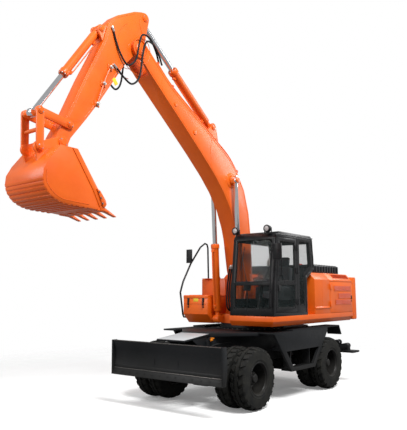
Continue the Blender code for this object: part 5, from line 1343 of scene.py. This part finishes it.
def build_stage():
    shape = bmesh.new()
    bmesh.ops.create_grid(shape, x_segments=1, y_segments=1, size=60)
    mesh = bpy.data.meshes.new("floor")
    shape.to_mesh(mesh)
    shape.free()
    floor = bpy.data.objects.new("floor", mesh)
    bpy.context.scene.collection.objects.link(floor)
    material, tree, shader = shader_of("floor_finish")
    path = tree.nodes.new("ShaderNodeLightPath")
    pale = ramp(tree, noise(tree, 0.4, 3.0), [(0.3, (0.93, 0.93, 0.93)), (0.7, (0.96, 0.96, 0.96))])
    tree.links.new(mixed(tree, path.outputs["Is Camera Ray"], (0.22, 0.22, 0.22), pale),
                   shader.inputs["Base Color"])
    shader.inputs["Roughness"].default_value = 0.9
    shader.inputs["Specular IOR Level"].default_value = 0.05
    shader.inputs["Emission Color"].default_value = (1, 1, 1, 1)
    dim = tree.nodes.new("ShaderNodeMath")
    dim.operation = "MULTIPLY"
    dim.inputs[1].default_value = FLOOR_GLOW
    tree.links.new(path.outputs["Is Camera Ray"], dim.inputs[0])
    tree.links.new(dim.outputs["Value"], shader.inputs["Emission Strength"])
    place = tree.nodes.new("ShaderNodeTexCoord")
    distance = tree.nodes.new("ShaderNodeVectorMath")
    distance.operation = "LENGTH"
    tree.links.new(place.outputs["Object"], distance.inputs[0])
    fade = tree.nodes.new("ShaderNodeMapRange")
    fade.interpolation_type = "SMOOTHSTEP"
    fade.inputs["From Min"].default_value, fade.inputs["From Max"].default_value = FLOOR_CLEAR_R
    fade.inputs["To Min"].default_value = 1.0
    fade.inputs["To Max"].default_value = 0.0
    tree.links.new(distance.outputs["Value"], fade.inputs["Value"])
    tree.links.new(fade.outputs["Result"], shader.inputs["Alpha"])
    mesh.materials.append(material)


def build_light():
    world = bpy.data.worlds.new("studio")
    bpy.context.scene.world = world
    world.use_nodes = True
    tree = world.node_tree
    soft = tree.nodes["Background"]
    soft.inputs["Color"].default_value = (1, 1, 1, 1)
    soft.inputs["Strength"].default_value = AMBIENT
    output = tree.nodes["World Output"]
    tree.links.new(white_seen(tree, soft.outputs[0]), output.inputs["Surface"])
    rows = (("key", (5.0, 9.0, 14.0), (1.0, 0, 2.5), 2600.0, 5.0),
            ("side", (12.0, -4.0, 7.0), (1.5, 0, 3.0), 520.0, 5.0),
            ("back", (-9.0, 5.0, 8.0), (0, 0, 2.0), 420.0, 5.0))
    for name, place, target, power, size in rows:
        light = bpy.data.lights.new(name, "AREA")
        light.energy = power
        light.size = size
        lamp = bpy.data.objects.new(name, light)
        lamp.location = place
        run = Vector(target) - Vector(place)
        lamp.rotation_mode = "QUATERNION"
        lamp.rotation_quaternion = run.to_track_quat("-Z", "Y")
        bpy.context.scene.collection.objects.link(lamp)


def build_camera():
    data = bpy.data.cameras.new("camera")
    data.lens = CAMERA_LENS
    data.sensor_width = SENSOR_W
    data.shift_y = CAMERA_SHIFT
    camera = bpy.data.objects.new("camera", data)
    camera.location = CAMERA_PLACE
    heading = Vector((cos(CAMERA_PITCH) * cos(CAMERA_HEADING), cos(CAMERA_PITCH) * sin(CAMERA_HEADING),
                      sin(CAMERA_PITCH)))
    camera.rotation_mode = "QUATERNION"
    camera.rotation_quaternion = heading.to_track_quat("-Z", "Y")
    bpy.context.scene.collection.objects.link(camera)
    bpy.context.scene.camera = camera
    bpy.context.scene.view_settings.view_transform = "Standard"


build_camera()
dress_nodes()
build_wheels()
build_cab_glass()
build_cab_trim()
build_cab_inside()
build_body_trim()
build_pins()
build_boom_trim()
build_arm_trim()
build_cylinder_trim()
build_bucket_trim()
build_blade_trim()
build_chassis_trim()
build_step_trim()
build_stage()
build_light()
